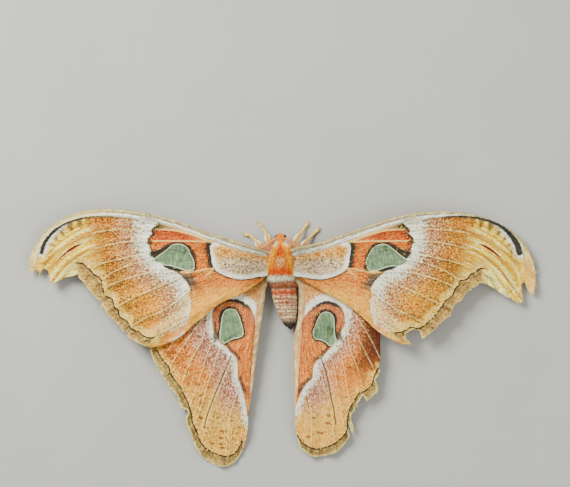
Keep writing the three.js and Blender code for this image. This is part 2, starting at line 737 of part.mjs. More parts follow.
function build() {
  const moth = new THREE.Group();
  const thoraxRoom = thorax(GAP);
  const abdomenRoom = abdomen(GAP);
  const headRoom = headShape(GAP);
  const eyeRoom = eyeBall(-1, GAP).add(eyeBall(1, GAP));
  moth.add(piece("thorax", "thorax", thorax()));
  moth.add(piece("abdomen", "abdomen", abdomen()));
  moth.add(piece("head", "head", headShape().subtract(thoraxRoom).subtract(eyeRoom)));
  for (const sideName of ["left", "right"]) {
    const side = sideName === "left" ? -1 : 1;
    moth.add(piece(`eye_${sideName}`, "eye", eyeBall(side)));
    const feeler = antenna(side).subtract(headRoom).subtract(thoraxRoom);
    moth.add(piece(`antenna_${sideName}`, "antenna", feeler));
    const fore = wing(`forewing_${sideName}`, FORE, foreHeight, FORE_VEINS);
    const hind = wing(`hindwing_${sideName}`, HIND, hindHeight, HIND_VEINS);
    moth.add(piece(`forewing_${sideName}`, "forewing", fore.subtract(thoraxRoom)));
    moth.add(piece(`hindwing_${sideName}`, "hindwing", hind.subtract(thoraxRoom).subtract(abdomenRoom)));
    for (const name of Object.keys(LEGS)) {
      moth.add(piece(`${name}_${sideName}`, "leg", leg(name, sideName).subtract(thoraxRoom)));
    }
  }
  const middle = new THREE.Box3().setFromObject(moth).getCenter(new THREE.Vector3());
  moth.position.set(-middle.x, -middle.y, 0);
  return moth;
}

export default build();
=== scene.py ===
"""An atlas moth at rest, life size: spread patterned wings, furred body and feathered antennae."""
import math

import bpy
import numpy as np
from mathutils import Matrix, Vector
from mathutils.geometry import delaunay_2d_cdt


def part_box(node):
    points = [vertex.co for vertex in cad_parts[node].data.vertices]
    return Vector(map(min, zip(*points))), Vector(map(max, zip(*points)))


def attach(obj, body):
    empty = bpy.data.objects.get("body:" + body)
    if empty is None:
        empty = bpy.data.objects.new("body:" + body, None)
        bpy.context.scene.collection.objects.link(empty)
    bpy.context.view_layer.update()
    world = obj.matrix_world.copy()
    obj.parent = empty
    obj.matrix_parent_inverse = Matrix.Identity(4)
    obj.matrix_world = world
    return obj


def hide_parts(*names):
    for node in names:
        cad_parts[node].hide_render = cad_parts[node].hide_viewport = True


bl_info = {
    "name": "Atlas moth",
    "version": (1, 0, 0),
    "blender": (4, 5, 0),
    "location": "View3D > Sidebar > Atlas moth",
    "description": "Builds a life-size atlas moth at rest with its wings spread",
    "category": "Object",
}

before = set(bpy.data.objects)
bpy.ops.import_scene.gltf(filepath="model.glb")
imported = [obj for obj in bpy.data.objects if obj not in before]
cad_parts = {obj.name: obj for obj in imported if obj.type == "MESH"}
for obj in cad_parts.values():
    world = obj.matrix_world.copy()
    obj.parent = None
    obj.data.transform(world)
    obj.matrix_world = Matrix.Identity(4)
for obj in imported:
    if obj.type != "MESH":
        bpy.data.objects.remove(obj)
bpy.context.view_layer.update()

MM = 0.001
BODY = "root"
SIDES = {"left": -1, "right": 1}

# The body's own frame is in millimetres, y towards the head, x to the moth's right.
THORAX_LOW, THORAX_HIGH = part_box("thorax")
THORAX_BACK = -9.8
SHIFT = np.array([
    (THORAX_LOW.x + THORAX_HIGH.x) / 2 / MM,
    THORAX_LOW.y / MM - THORAX_BACK,
    0.0,
])

# Photograph: millimetres to a pixel and the pixel of the body frame's origin
PHOTO_SCALE = 0.475
PHOTO_ORIGIN = (280.5, 262.0)
PHOTO_WIDTH = 570
PHOTO_MIDDLE = (285.0, 243.5)

# Wing shapes: outlines in pixels of the photograph, by stretch. A round stretch is a curve through its
# points and a torn one is straight from nick to nick.
ROUND, TORN = "round", "torn"
FOREWING_LEFT_OUTLINE = [
    (ROUND, [(271, 252), (262, 249.5), (240, 242), (210, 232.7), (180, 221.7), (150, 213.7), (120, 209.5),
             (100, 209), (80, 212), (60, 220), (47, 229), (38, 239), (32, 250), (29, 261), (29.5, 269)]),
    (TORN, [(30, 271), (28.4, 275.6), (31.4, 271.6), (35, 269.6), (38, 272), (39.2, 271.2), (37.6, 276.8),
            (41, 271), (43, 268.8), (47, 270.5)]),
    (ROUND, [(48.5, 274), (49.4, 279), (51, 284)]),
    (ROUND, [(54.5, 282.8), (60, 280), (66, 277.3), (73, 276), (78.6, 274.2)]),
    (ROUND, [(78.2, 276.8), (80, 279.4), (83.4, 282.2), (85, 285)]),
    (ROUND, [(87, 288), (91, 291.6), (94, 296), (98, 299.4)]),
    (ROUND, [(101.4, 301.8), (102.8, 303), (101, 304.6), (103.6, 307.4), (105.4, 309.8)]),
    (ROUND, [(107, 313.4), (109.6, 317), (112.6, 319.2), (116, 322.8), (120, 326.6), (122, 330),
             (125, 332.2)]),
    (TORN, [(127.6, 331.4), (132, 328.6), (128, 334), (127, 335.6), (129, 338)]),
    (ROUND, [(132.6, 340.4), (137, 342.2), (143, 345.3)]),
    (ROUND, [(147, 346.8), (152, 347.6), (158, 346.4), (168, 343), (177, 339), (186, 332), (195, 323.5),
             (205, 316), (215, 307), (225, 301), (238, 296), (250, 289), (264, 278.5), (271, 274)]),
]
FOREWING_RIGHT_OUTLINE = [
    (ROUND, [(290, 249), (299, 246.5), (320, 242), (345, 233.3), (370, 224.7), (395, 216.8), (420, 212.2),
             (445, 211.3), (465, 212.8), (485, 217.7), (503, 225.3), (517, 234.8), (527, 247), (533, 260),
             (536.2, 272), (536.2, 284), (534, 295.6)]),
    (ROUND, [(532.4, 294.8), (529, 290.4), (527, 286.5), (526, 283), (524.4, 281.3), (522.6, 283),
             (522.2, 288), (523.4, 295), (523.2, 301), (521.4, 303.6)]),
    (TORN, [(519.6, 303.2), (518.2, 304), (516.6, 301.6), (514.4, 301.2)]),
    (ROUND, [(512.6, 298.8), (508, 297.4), (502, 294), (494, 288.2), (488, 284.8), (482, 282.4)]),
    (ROUND, [(479.6, 283.4), (477, 286), (472, 288.2), (467, 292.6), (463.4, 298)]),
    (ROUND, [(461.4, 300.8), (456, 304), (453, 308.4), (451, 313.4), (447.6, 317.6)]),
    (ROUND, [(444.4, 320.4), (440, 323.4), (436, 328.4), (431.4, 332.2), (427, 336.2), (421.8, 338.8)]),
    (ROUND, [(421.2, 335.6), (420.2, 332.4), (418.4, 330.2), (414.6, 329.4), (410, 330.9), (406.9, 333.2),
             (405.4, 336), (406, 339)]),
    (TORN, [(409, 341.4), (412, 344.2), (408.6, 344.4)]),
    (ROUND, [(403, 344.4), (393, 340.4), (384, 335.5), (376, 330), (368, 322.5), (360, 315), (350, 307),
             (340, 301), (325, 292.5), (312, 285.5), (298, 278), (290, 274)]),
]
HINDWING_LEFT_OUTLINE = [
    (ROUND, [(271, 271), (262, 270), (240, 277), (215, 288), (190, 303), (168, 321), (153, 337), (149, 345)]),
    (ROUND, [(149.4, 350), (151.8, 357), (154.6, 362.6)]),
    (ROUND, [(157.4, 367), (160.6, 373.4), (164, 379.4), (167.6, 384)]),
    (ROUND, [(170.4, 388), (173.6, 392.6), (177.4, 396.8)]),
    (TORN, [(179, 400), (178.6, 404.6), (180.4, 407.4), (181, 409.8), (183.6, 408.8), (187, 410.8),
            (188, 413.2)]),
    (ROUND, [(185.4, 418), (186, 424), (189, 431), (191.4, 438), (194.4, 446), (198, 452.6)]),
    (ROUND, [(201.2, 457.4), (207, 461.6), (212, 465)]),
    (ROUND, [(217, 467), (222.4, 467.6), (229, 466.2), (235.4, 462.6)]),
    (ROUND, [(239.4, 457), (243.6, 448), (246.4, 437), (248, 427), (248, 420), (250.3, 402), (253, 385),
             (255, 370), (257, 352), (259.5, 335), (262, 318), (264.4, 300), (266, 288), (271, 280)]),
]
HINDWING_RIGHT_OUTLINE = [
    (ROUND, [(290, 271), (299, 270), (320, 275), (342, 285), (362, 300), (376, 318), (380, 332), (380.4, 345),
             (380.4, 358), (379.2, 366)]),
    (TORN, [(380.2, 371.6), (378.6, 376.6), (375.2, 379.4), (377, 384)]),
    (ROUND, [(378.4, 389), (375.4, 394), (371, 398.4), (367, 401.8)]),
    (TORN, [(365, 398.6), (363, 395.4), (361.2, 399), (359.2, 401.2), (357.4, 405.4), (355.2, 408.6),
            (354.2, 412), (351.6, 415.2), (351.2, 420)]),
    (TORN, [(352.8, 424.6), (354.2, 430), (353, 435), (350.8, 430.6), (349.4, 425.2), (348.4, 422.6),
            (348, 427), (349, 432.4)]),
    (ROUND, [(350, 437.4), (346, 442.4), (342.4, 448), (336.4, 453.2), (329, 455.7), (320, 457.2),
             (311.4, 457.2), (305, 452.4), (300, 448.4)]),
    (ROUND, [(297.6, 440), (295.8, 430), (295, 420), (295.5, 411), (294.5, 400), (294, 388), (294, 375),
             (293.5, 362), (293.3, 348), (294.3, 335), (297.5, 322), (298.5, 305), (298.6, 292), (297, 283),
             (290, 279)]),
]

# Pattern lines of the left wings, in pixels of the photograph; a right wing mirrors what it doesn't own.
COSTAL_VEIN = [(263, 256), (240, 250.5), (220, 243.7), (200, 236.4), (180, 229), (160, 223.6), (140, 220),
               (110, 216.6), (80, 218.5), (60, 226), (47, 236), (40, 247), (36, 259), (34, 271)]
SECOND_VEIN = [(263, 262), (240, 256), (213, 243.5), (195, 236), (175, 230.5), (150, 229.5), (120, 229.5),
               (100, 231.5), (85, 236), (70, 243), (55, 253), (42, 264)]
THIRD_VEIN = [(213, 243), (200, 241.5), (175, 241), (150, 241), (130, 241.5), (115, 243.5), (100, 247),
              (88, 250), (75, 257), (62, 268), (52, 282)]
FOURTH_VEIN = [(180, 243), (165, 247), (150, 252.5), (135, 255.5), (120, 259), (105, 262.5), (95, 267),
               (84, 280)]
FIFTH_VEIN = [(153, 259), (130, 265), (110, 274), (98, 284), (90, 291)]
MAIN_VEIN = [(262, 268), (235, 266), (213, 268), (195, 271.5), (185, 272), (165, 271.5), (150, 272.5),
             (135, 276), (120, 281), (109, 286), (97, 298)]
FOREWING_VEINS = [
    COSTAL_VEIN, SECOND_VEIN, THIRD_VEIN, FOURTH_VEIN, FIFTH_VEIN, MAIN_VEIN,
    [(200, 270.5), (190, 272.5), (180, 277), (168, 283), (152, 289.5), (135, 297), (120, 305), (106, 312)],
    [(213, 269.5), (205, 277), (195, 285), (185, 294), (178, 300), (165, 309), (150, 316), (140, 321),
     (124, 330)],
    [(262, 277), (240, 288), (215, 301), (192, 315), (175, 325), (160, 333), (148, 339), (138, 343)],
]
HINDWING_VEINS = [
    [(262, 272), (235, 285), (205, 303), (185, 325), (168, 350), (157, 368)],
    [(240, 286), (215, 303), (200, 322), (183, 346), (172, 363), (165, 381)],
    [(263, 275), (245, 285), (225, 296), (211, 310), (203, 338), (190, 362), (178, 394)],
    [(214, 338), (208, 352), (199, 380), (188, 412)],
    [(220, 347), (212, 370), (203, 400), (191, 436)],
    [(263, 280), (250, 300), (246, 325), (240, 345), (232, 357), (222, 382), (212, 405), (205, 430),
     (199, 453)],
    [(264, 282), (256, 305), (251, 335), (243, 365), (236, 395), (230, 415), (227, 440), (223, 466)],
]
POSTMEDIAL_LINE = [(160, 219), (157, 224.4), (152.6, 228), (151, 230.4), (152, 233.6), (149, 236.4),
                   (147.4, 240), (147, 242.4), (149.6, 246), (150, 249.6), (152.6, 253.4), (156, 258),
                   (160, 263), (167, 267.6), (176, 271.6), (181, 275.6), (186, 281), (189.6, 286.6),
                   (190.6, 290.6), (188.6, 294.6), (191, 301), (190.6, 309), (189, 317), (187, 325),
                   (184, 337)]
BASAL_PATCH = [(270, 258), (250, 253.6), (236, 249.6), (224, 245.4), (214, 242.6), (210.4, 246), (210.6, 252),
               (211.6, 258), (212.6, 264), (215.4, 270), (221, 273.8), (229, 277), (238, 279),
               (248, 278.8), (257, 277), (270, 274)]
APEX_STREAK = [(140, 220.6), (120, 217.6), (100, 216.4), (84, 217.8), (68, 222.4), (57, 228.4), (49, 236),
               (43.6, 244), (41, 252.6)]
APEX_STREAK_WIDTH = {
    "left": [0.0, 0.1, 0.2, 0.3, 0.38, 0.46, 0.6, 0.8, 0.9],
    "right": [0.0, 0.12, 0.3, 0.42, 0.5, 0.6, 0.8, 1.3, 1.5],
}
TOOTH_SPACING = 4.8
RED_DASH_HALF_WIDTH = 0.5
PALE_WEDGE = [(188, 289), (191, 300), (190, 313), (184, 322), (173, 329), (158, 337), (146, 343), (140, 339),
              (150, 331), (163, 321), (173, 311), (181, 300)]
RED_DASH = [(82, 243.6), (75, 246.6), (68, 251), (59, 258.4)]
FORE_SHADE = [(150, 252), (156, 251), (163, 247), (170, 243.4), (177, 242.4), (184, 242.8), (189.6, 245.4),
              (193.2, 250), (196.2, 257), (196.8, 264), (196.4, 270), (190, 270.6), (176, 262), (160, 259.4),
              (154, 258)]
FORE_SLIVER = [(162.6, 264.6), (170, 265.8), (178, 268), (185, 271), (178, 271), (170, 269.6), (164, 267)]
FORE_WINDOW = {
    "left": [(153.5, 260), (158, 256), (165, 251), (171, 246), (174, 244.4), (181, 244), (186, 246.5),
             (189, 250), (191, 255), (193.5, 260), (194.4, 266), (193.5, 270), (188, 270.4), (184, 269.8),
             (178, 268), (172, 266), (165, 265), (160, 262.8), (155.4, 262)],
    "right": [(366, 261), (368, 256), (371, 251), (374, 247), (378, 245), (383, 244), (388, 245.5),
              (393, 249), (399, 254), (405, 258.5), (408, 261), (404, 264), (399, 266), (393, 266),
              (387, 267), (381, 269), (375, 271), (369, 270), (366.5, 266)],
}
FORE_SUBMARGIN = {
    "left": [(70, 264.4), (77, 263), (83, 264), (86, 267), (90, 270), (92, 273), (96, 276), (100, 277.6),
             (101.4, 281), (102.6, 286), (104, 294), (107, 297), (112, 299), (113.4, 303), (114.4, 307),
             (118, 310), (118.8, 314), (120.4, 317.5), (124, 319.5), (127, 321.4), (129, 325), (131, 328.5),
             (134, 330.5), (139, 331.8), (141.6, 334.5), (147, 337.5), (154, 337.6)],
    "right": [(487, 268.4), (480, 269), (476, 272), (470, 275), (467.6, 279), (463, 280.4), (460, 281),
              (458.5, 285.6), (455, 289), (453.6, 294), (450, 298), (445, 301), (443, 305), (440, 309),
              (437, 313), (433, 318), (428, 322), (424, 326), (419, 328.4), (410, 327.6), (402, 331.6),
              (394, 333)],
}
HIND_WINDOW = {
    "left": [(230, 309), (235, 310), (238, 314), (241, 322), (243, 330), (243, 335), (240, 337.5), (233, 339),
             (227, 342), (224, 343.5), (220, 340), (219.5, 334), (221, 325), (222, 317), (225, 311)],
    "right": [(325, 312), (330, 313), (333.5, 317), (334.5, 325), (335, 335), (336.4, 341), (333, 345.6),
              (330, 346), (325, 342), (320, 340), (315, 339), (313, 332), (315, 326), (318, 319), (321, 314)],
}
EYE_RING = {
    "left": [(221, 343), (218.5, 338), (214.6, 331), (212.6, 320), (212.8, 311), (217, 304), (223, 300.2),
             (230, 299), (237, 300), (244, 303), (250, 308), (253.6, 315), (255, 323), (254, 335),
             (252.4, 350), (250.8, 370), (249.6, 390), (248.6, 405), (248, 418), (247, 413), (246, 405),
             (244, 395), (241, 384.6), (238.4, 378), (238, 370), (238, 363), (237, 357), (234, 354),
             (230.6, 351.6), (226, 345.6)],
    "right": [(337.4, 341), (338.5, 336), (341.6, 330), (344.4, 323), (343.5, 312), (338.5, 305.5),
              (328.5, 301.6), (320, 303), (313.4, 307.6), (307, 313.6), (302.6, 320), (301.8, 334.7),
              (300.5, 354.6), (299.3, 369.5), (298.4, 387), (296.6, 404), (299.9, 394.4), (303.7, 387),
              (306.8, 382.4), (311.7, 378), (313, 367), (315.5, 361), (321.7, 357), (326, 352), (330, 347.6)],
}
HIND_DISTAL = {
    "left": [(206, 290), (210, 303), (211.6, 320), (213.4, 331), (217.4, 338), (221, 343.6), (226, 346.4),
             (230, 352), (234, 355), (236.6, 358), (237.4, 366), (238, 378), (241, 385), (244, 395),
             (246, 405), (247.4, 415), (249, 424)],
    "right": [(352, 290), (347, 303), (345.6, 318), (344, 327), (340, 334), (337.6, 341), (331, 348),
              (326, 352.6), (321.7, 357.6), (316, 361.6), (313.6, 367.4), (312, 378.4), (307, 383),
              (303.9, 387.4), (300, 394.8), (297, 404), (294, 412)],
}
DARK_VEIN = {
    "left": [(231, 356), (226, 368), (221, 380), (216, 392), (212, 403), (207, 415), (204, 428)],
    "right": [(321, 358), (326, 372), (329, 385), (331, 397), (334, 410), (336, 425)],
}
HIND_SUBMARGIN = {
    "left": [(154, 340), (156, 349), (160, 356), (164, 362), (168, 366), (170, 373), (175, 381),
             (180, 387), (184, 396), (188, 404), (191, 414), (192.6, 424), (196, 431), (199.6, 441),
             (205, 449), (212, 453), (218, 456), (222, 456.6), (227, 457.4), (233, 455), (237.4, 451),
             (242, 440)],
    "right": [(386, 362), (377, 371), (374, 378), (372, 385), (366, 391), (359, 394), (355, 401), (350, 409),
              (347.6, 420), (347.4, 430), (344, 436.6), (340, 440.4), (334, 444.6), (326, 448), (318, 450),
              (310, 448.2), (303, 444), (297, 436)],
}

# Heights and thickness of the wings
FORE_ARCH = (10.2, 14.0, 3.6)
FORE_SPAN = 121.0
FORE_CHORD = 40.0
FORE_TRAILING_DROP = 1.2
HIND_ARCH = (7.3, 9.6, 1.7)
HIND_SPAN = 92.0
FORE_ROOT = (8.0, -1.0)
HIND_ROOT = (7.0, -8.0)
STUDIO_LIGHT = 2.0  # light that falls on a level surface, in units of the floor paint
TONE_SHOULDER = 17.6
SHOULDER_START = 0.55
VIVIDNESS = 1.24
DARKEST_PAINT, BRIGHTEST_PAINT = 0.002, 0.88
HEADROOM = 0.93  # leaves the whites room under the studio's tone curve
HIND_RIGHT_TURN = math.radians(-8.0)  # the right hindwing is folded further in than the left
ROOT_HALF_THICKNESS = 0.7
ROOT_REACH = 13.0
FLOOR_CLEARANCE = 0.5
VEIN_HALF_WIDTH = 0.42
PLEAT_DEPTH = 1.2
FOLD_HEIGHT, FOLDS = 0.3, 40
HEM_RIPPLE = 0.4
LEAD_RISE, LEAD_HALF_WIDTH = 0.35, 1.1


def colour(red, green, blue):
    """The paint that shows a screen colour of 0 to 255 under the studio's light."""
    paint = []
    for screen in (red, green, blue):
        shade = screen / 255 * HEADROOM
        light = ((shade + 0.055) / 1.055) ** 2.4 if shade > 0.04 else shade / 12.92
        shoulder = 1.0 + TONE_SHOULDER * max(0.0, shade - SHOULDER_START) ** 2
        paint.append(light * shoulder / STUDIO_LIGHT)
    grey = sum(paint) / 3
    vivid = (grey + (part - grey) * VIVIDNESS for part in paint)
    return tuple(min(BRIGHTEST_PAINT, max(DARKEST_PAINT, part)) for part in vivid) + (1.0,)


def length_setting(name, description, default, low, high):
    return bpy.props.FloatProperty(
        name=name, description=description, default=default, min=low, max=high,
        unit="LENGTH", subtype="DISTANCE")


def colour_setting(name, description, default):
    return bpy.props.FloatVectorProperty(
        name=name, description=description, default=default, size=4, min=0, max=1, subtype="COLOR")


class MothSizes(bpy.types.PropertyGroup):
    """Sizes and colours that a user would change."""

    wing_step: length_setting(
        "Wing mesh step", "Distance between the points of a wing", 0.00046, 0.0003, 0.003)
    wing_thickness: length_setting(
        "Wing thickness", "Thickness of a wing away from its root", 0.00026, 0.0001, 0.001)
    vein_rise: length_setting("Vein rise", "Height of a vein over the wing", 0.00026, 0.0, 0.001)
    scale_length: length_setting(
        "Scale length", "Length of the scales strewn over the wings", 0.0008, 0.0003, 0.003)
    scale_density: bpy.props.FloatProperty(
        name="Scales", description="Scales on a square millimetre of wing", default=2.2, min=0.1, max=4.0)
    fur_length: length_setting("Fur length", "Length of the fur on the thorax", 0.0021, 0.0005, 0.006)
    seed: bpy.props.IntProperty(name="Seed", description="Seed of every random draw", default=7, min=0)
    thorax_red: colour_setting("Thorax red", "Fur of the thorax", colour(255, 196, 104))
    stripe_orange: colour_setting("Stripe orange", "The two bands on the thorax", colour(255, 206, 44))
    window_green: colour_setting("Window green", "Clear windows of the wings", colour(158, 176, 146))


# Flat shapes, as arrays of points in millimetres

def from_photo(pixels, side):
    """Pixels of the photograph as millimetres, x counted outward from the middle of the body."""
    spots = np.array(pixels, float)
    across = (spots[:, 0] - PHOTO_ORIGIN[0]) * PHOTO_SCALE * side
    return np.column_stack([across, (PHOTO_ORIGIN[1] - spots[:, 1]) * PHOTO_SCALE])


def curve_through(points, step, closed=False):
    """Points a step apart on a smooth curve through the given ones."""
    points = np.asarray(points, float)
    if closed:
        ends = np.vstack([points[-1:], points, points[:2]])
    else:
        ends = np.vstack([2 * points[0] - points[1], points, 2 * points[-1] - points[-2]])
    knots = np.concatenate([[0], np.cumsum(np.sqrt(np.linalg.norm(np.diff(ends, axis=0), axis=1)))])
    parts = []
    for i in range(1, len(ends) - 2):
        p0, p1, p2, p3 = ends[i - 1:i + 3]
        t0, t1, t2, t3 = knots[i - 1:i + 3]
        count = max(2, int(math.ceil(np.linalg.norm(p2 - p1) / step * 2)))
        t = np.linspace(t1, t2, count, endpoint=False)[:, None]
        a1 = (t1 - t) / (t1 - t0) * p0 + (t - t0) / (t1 - t0) * p1
        a2 = (t2 - t) / (t2 - t1) * p1 + (t - t1) / (t2 - t1) * p2
        a3 = (t3 - t) / (t3 - t2) * p2 + (t - t2) / (t3 - t2) * p3
        b1 = (t2 - t) / (t2 - t0) * a1 + (t - t0) / (t2 - t0) * a2
        b2 = (t3 - t) / (t3 - t1) * a2 + (t - t1) / (t3 - t1) * a3
        parts.append((t2 - t) / (t2 - t1) * b1 + (t - t1) / (t2 - t1) * b2)
    dense = np.vstack(parts + ([] if closed else [points[-1:]]))
    return even_steps(np.vstack([dense, dense[:1]]), step)[:-1] if closed else even_steps(dense, step)


def even_steps(line, step):
    """The same line of straight stretches with its points a step apart."""
    lengths = np.concatenate([[0], np.cumsum(np.linalg.norm(np.diff(line, axis=0), axis=1))])
    count = max(1, int(round(lengths[-1] / step)))
    at = np.linspace(0, lengths[-1], count + 1)
    return np.column_stack([np.interp(at, lengths, line[:, axis]) for axis in range(line.shape[1])])


def trace_outline(stretches, side, step):
    """A closed outline with its points a step apart that keeps the corners between stretches."""
    outline = []
    for kind, pixels in stretches:
        points = from_photo(pixels, side)
        if outline:
            outline.append(even_steps(np.vstack([outline[-1][-1], points[0]]), step)[1:-1])
        if kind == ROUND:
            outline.append(curve_through(points, step))
        else:
            pairs = [even_steps(points[i:i + 2], step) for i in range(len(points) - 1)]
            outline.append(np.vstack([pairs[0]] + [pair[1:] for pair in pairs[1:]]))
    closing = even_steps(np.vstack([outline[-1][-1], outline[0][0]]), step)[1:-1]
    return np.vstack(outline + [closing])


def distance_along(points, line):
    """Distance from each point to a line of straight stretches, and how far along the line that is."""
    nearest = np.full(len(points), np.inf)
    along = np.zeros(len(points))
    for i in range(len(line) - 1):
        a, b = line[i], line[i + 1]
        span = b - a
        share = np.clip((points - a) @ span / max(span @ span, 1e-12), 0, 1)
        gap = np.linalg.norm(points - a - share[:, None] * span, axis=1)
        closer = gap < nearest
        nearest[closer] = gap[closer]
        along[closer] = i + share[closer]
    return nearest, along


def inside(points, outline):
    """True for each point that lies within a closed outline."""
    within = np.zeros(len(points), bool)
    ends = np.roll(outline, -1, axis=0)
    for (ax, ay), (bx, by) in zip(outline, ends):
        if ay == by:
            continue
        crosses = (ay > points[:, 1]) != (by > points[:, 1])
        within ^= crosses & (points[:, 0] < (bx - ax) * (points[:, 1] - ay) / (by - ay) + ax)
    return within


def signed_outline(points, outline):
    """Distance to a closed outline, below nothing inside it."""
    gap, _ = distance_along(points, np.vstack([outline, outline[:1]]))
    return np.where(inside(points, outline), -gap, gap)


def signed_line(points, line, corners):
    """Distance to an open line, above nothing on the side that the corners close round."""
    gap, _ = distance_along(points, line)
    return np.where(inside(points, np.vstack([line, corners])), gap, -gap)


def smooth(value, low, high):
    share = np.clip((value - low) / (high - low), 0, 1)
    return share * share * (3 - 2 * share)


# Meshes

def make_mesh(name, points, faces, material):
    """A finished object from points in millimetres of the body's frame."""
    mesh = bpy.data.meshes.new(name)
    mesh.from_pydata(((np.asarray(points) + SHIFT) * MM).tolist(), [], [list(map(int, f)) for f in faces])
    mesh.validate()
    mesh.polygons.foreach_set("use_smooth", [True] * len(mesh.polygons))
    mesh.materials.append(material)
    piece = bpy.data.objects.new(name, mesh)
    bpy.context.scene.collection.objects.link(piece)
    return piece


def store(piece, name, values):
    """Keeps a number or a direction for each point of a piece, for its material or its copies."""
    values = np.asarray(values, np.float32)
    kind, key = ("FLOAT", "value") if values.ndim == 1 else ("FLOAT_VECTOR", "vector")
    piece.data.attributes.new(name, kind, "POINT").data.foreach_set(key, values.ravel())


def kept(piece, name):
    """The number that each point of a piece keeps under a name."""
    values = np.zeros(len(piece.data.vertices), np.float32)
    piece.data.attributes[name].data.foreach_get("value", values)
    return values


def settle(piece, slot, *nodes):
    """Fixes a finished piece to the moth."""
    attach(piece, BODY)
    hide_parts(*nodes)


def loft(rings):
    """Points and faces of a closed skin over rings that hold the same number of points."""
    rings = np.asarray(rings, float)
    count, sides = rings.shape[:2]
    points = np.vstack([rings.reshape(-1, 3), rings[0].mean(0), rings[-1].mean(0)])
    faces = []
    for i in range(count - 1):
        for j in range(sides):
            k = (j + 1) % sides
            faces.append((i * sides + j, i * sides + k, (i + 1) * sides + k, (i + 1) * sides + j))
    for j in range(sides):
        k = (j + 1) % sides
        faces.append((count * sides, k, j))
        faces.append((count * sides + 1, (count - 1) * sides + j, (count - 1) * sides + k))
    return points, faces


ROUTE_STEP = 0.05


def tube(route, radii, rings, sides, flat=1.0):
    """Rings of a tapered tube along a smooth route; flat is its thickness over its width. The radii belong
    to the route's points, or to shares of its length."""
    line = curve_through(route, ROUTE_STEP)
    at = np.linspace(0, len(line) - 1, rings)
    centres = np.column_stack([np.interp(at, np.arange(len(line)), line[:, axis]) for axis in range(3)])
    if np.ndim(radii[0]) == 0:
        knots = [np.argmin(np.linalg.norm(line - np.array(p), axis=1)) for p in route]
        radius = np.interp(at, knots, radii)
    else:
        radius = np.interp(at, [s * (len(line) - 1) for s, _ in radii], [r for _, r in radii])
    ahead = np.gradient(centres, axis=0)
    ahead /= np.linalg.norm(ahead, axis=1)[:, None]
    across = np.cross(ahead, [0, 0, 1])
    across /= np.linalg.norm(across, axis=1)[:, None]
    over = np.cross(across, ahead)
    turn = np.linspace(0, 2 * math.pi, sides, endpoint=False)
    ring = across[:, None] * np.cos(turn)[None, :, None] + flat * over[:, None] * np.sin(turn)[None, :, None]
    return centres[:, None] + ring[:, ::-1] * radius[:, None, None], centres, ahead, over


# Materials

class Value:
    """A number in a material's nodes that takes part in plain sums."""

    def __init__(self, paint, socket):
        self.paint = paint
        self.socket = socket

    def size(self):
        return self.paint.maths("ABSOLUTE", self)

    def most(self, other):
        return self.paint.maths("MAXIMUM", self, other)

    def above(self, low, high):
        """Nothing below low, all above high."""
        node = self.paint.node(
            "ShaderNodeMapRange", {"interpolation_type": "SMOOTHSTEP"},
            {"Value": self, "From Min": low, "From Max": high})
        return Value(self.paint, node.outputs["Result"])

    def below(self, low, high):
        """All below low, nothing above high."""
        return 1 - self.above(low, high)


for sign, operation in (("add", "ADD"), ("sub", "SUBTRACT"), ("mul", "MULTIPLY"), ("truediv", "DIVIDE")):
    setattr(Value, f"__{sign}__", lambda self, other, kind=operation: self.paint.maths(kind, self, other))
    setattr(Value, f"__r{sign}__", lambda self, other, kind=operation: self.paint.maths(kind, other, self))


class Coating(Value):
    """A colour in a material's nodes that takes more layers."""

    def lay(self, over, mask):
        self.socket = self.paint.mix(self, over, mask).socket


NOISE_ROUGHNESS = 0.6
FINE_SHARE = 0.65
LIGHT_FLECKS = 0.95


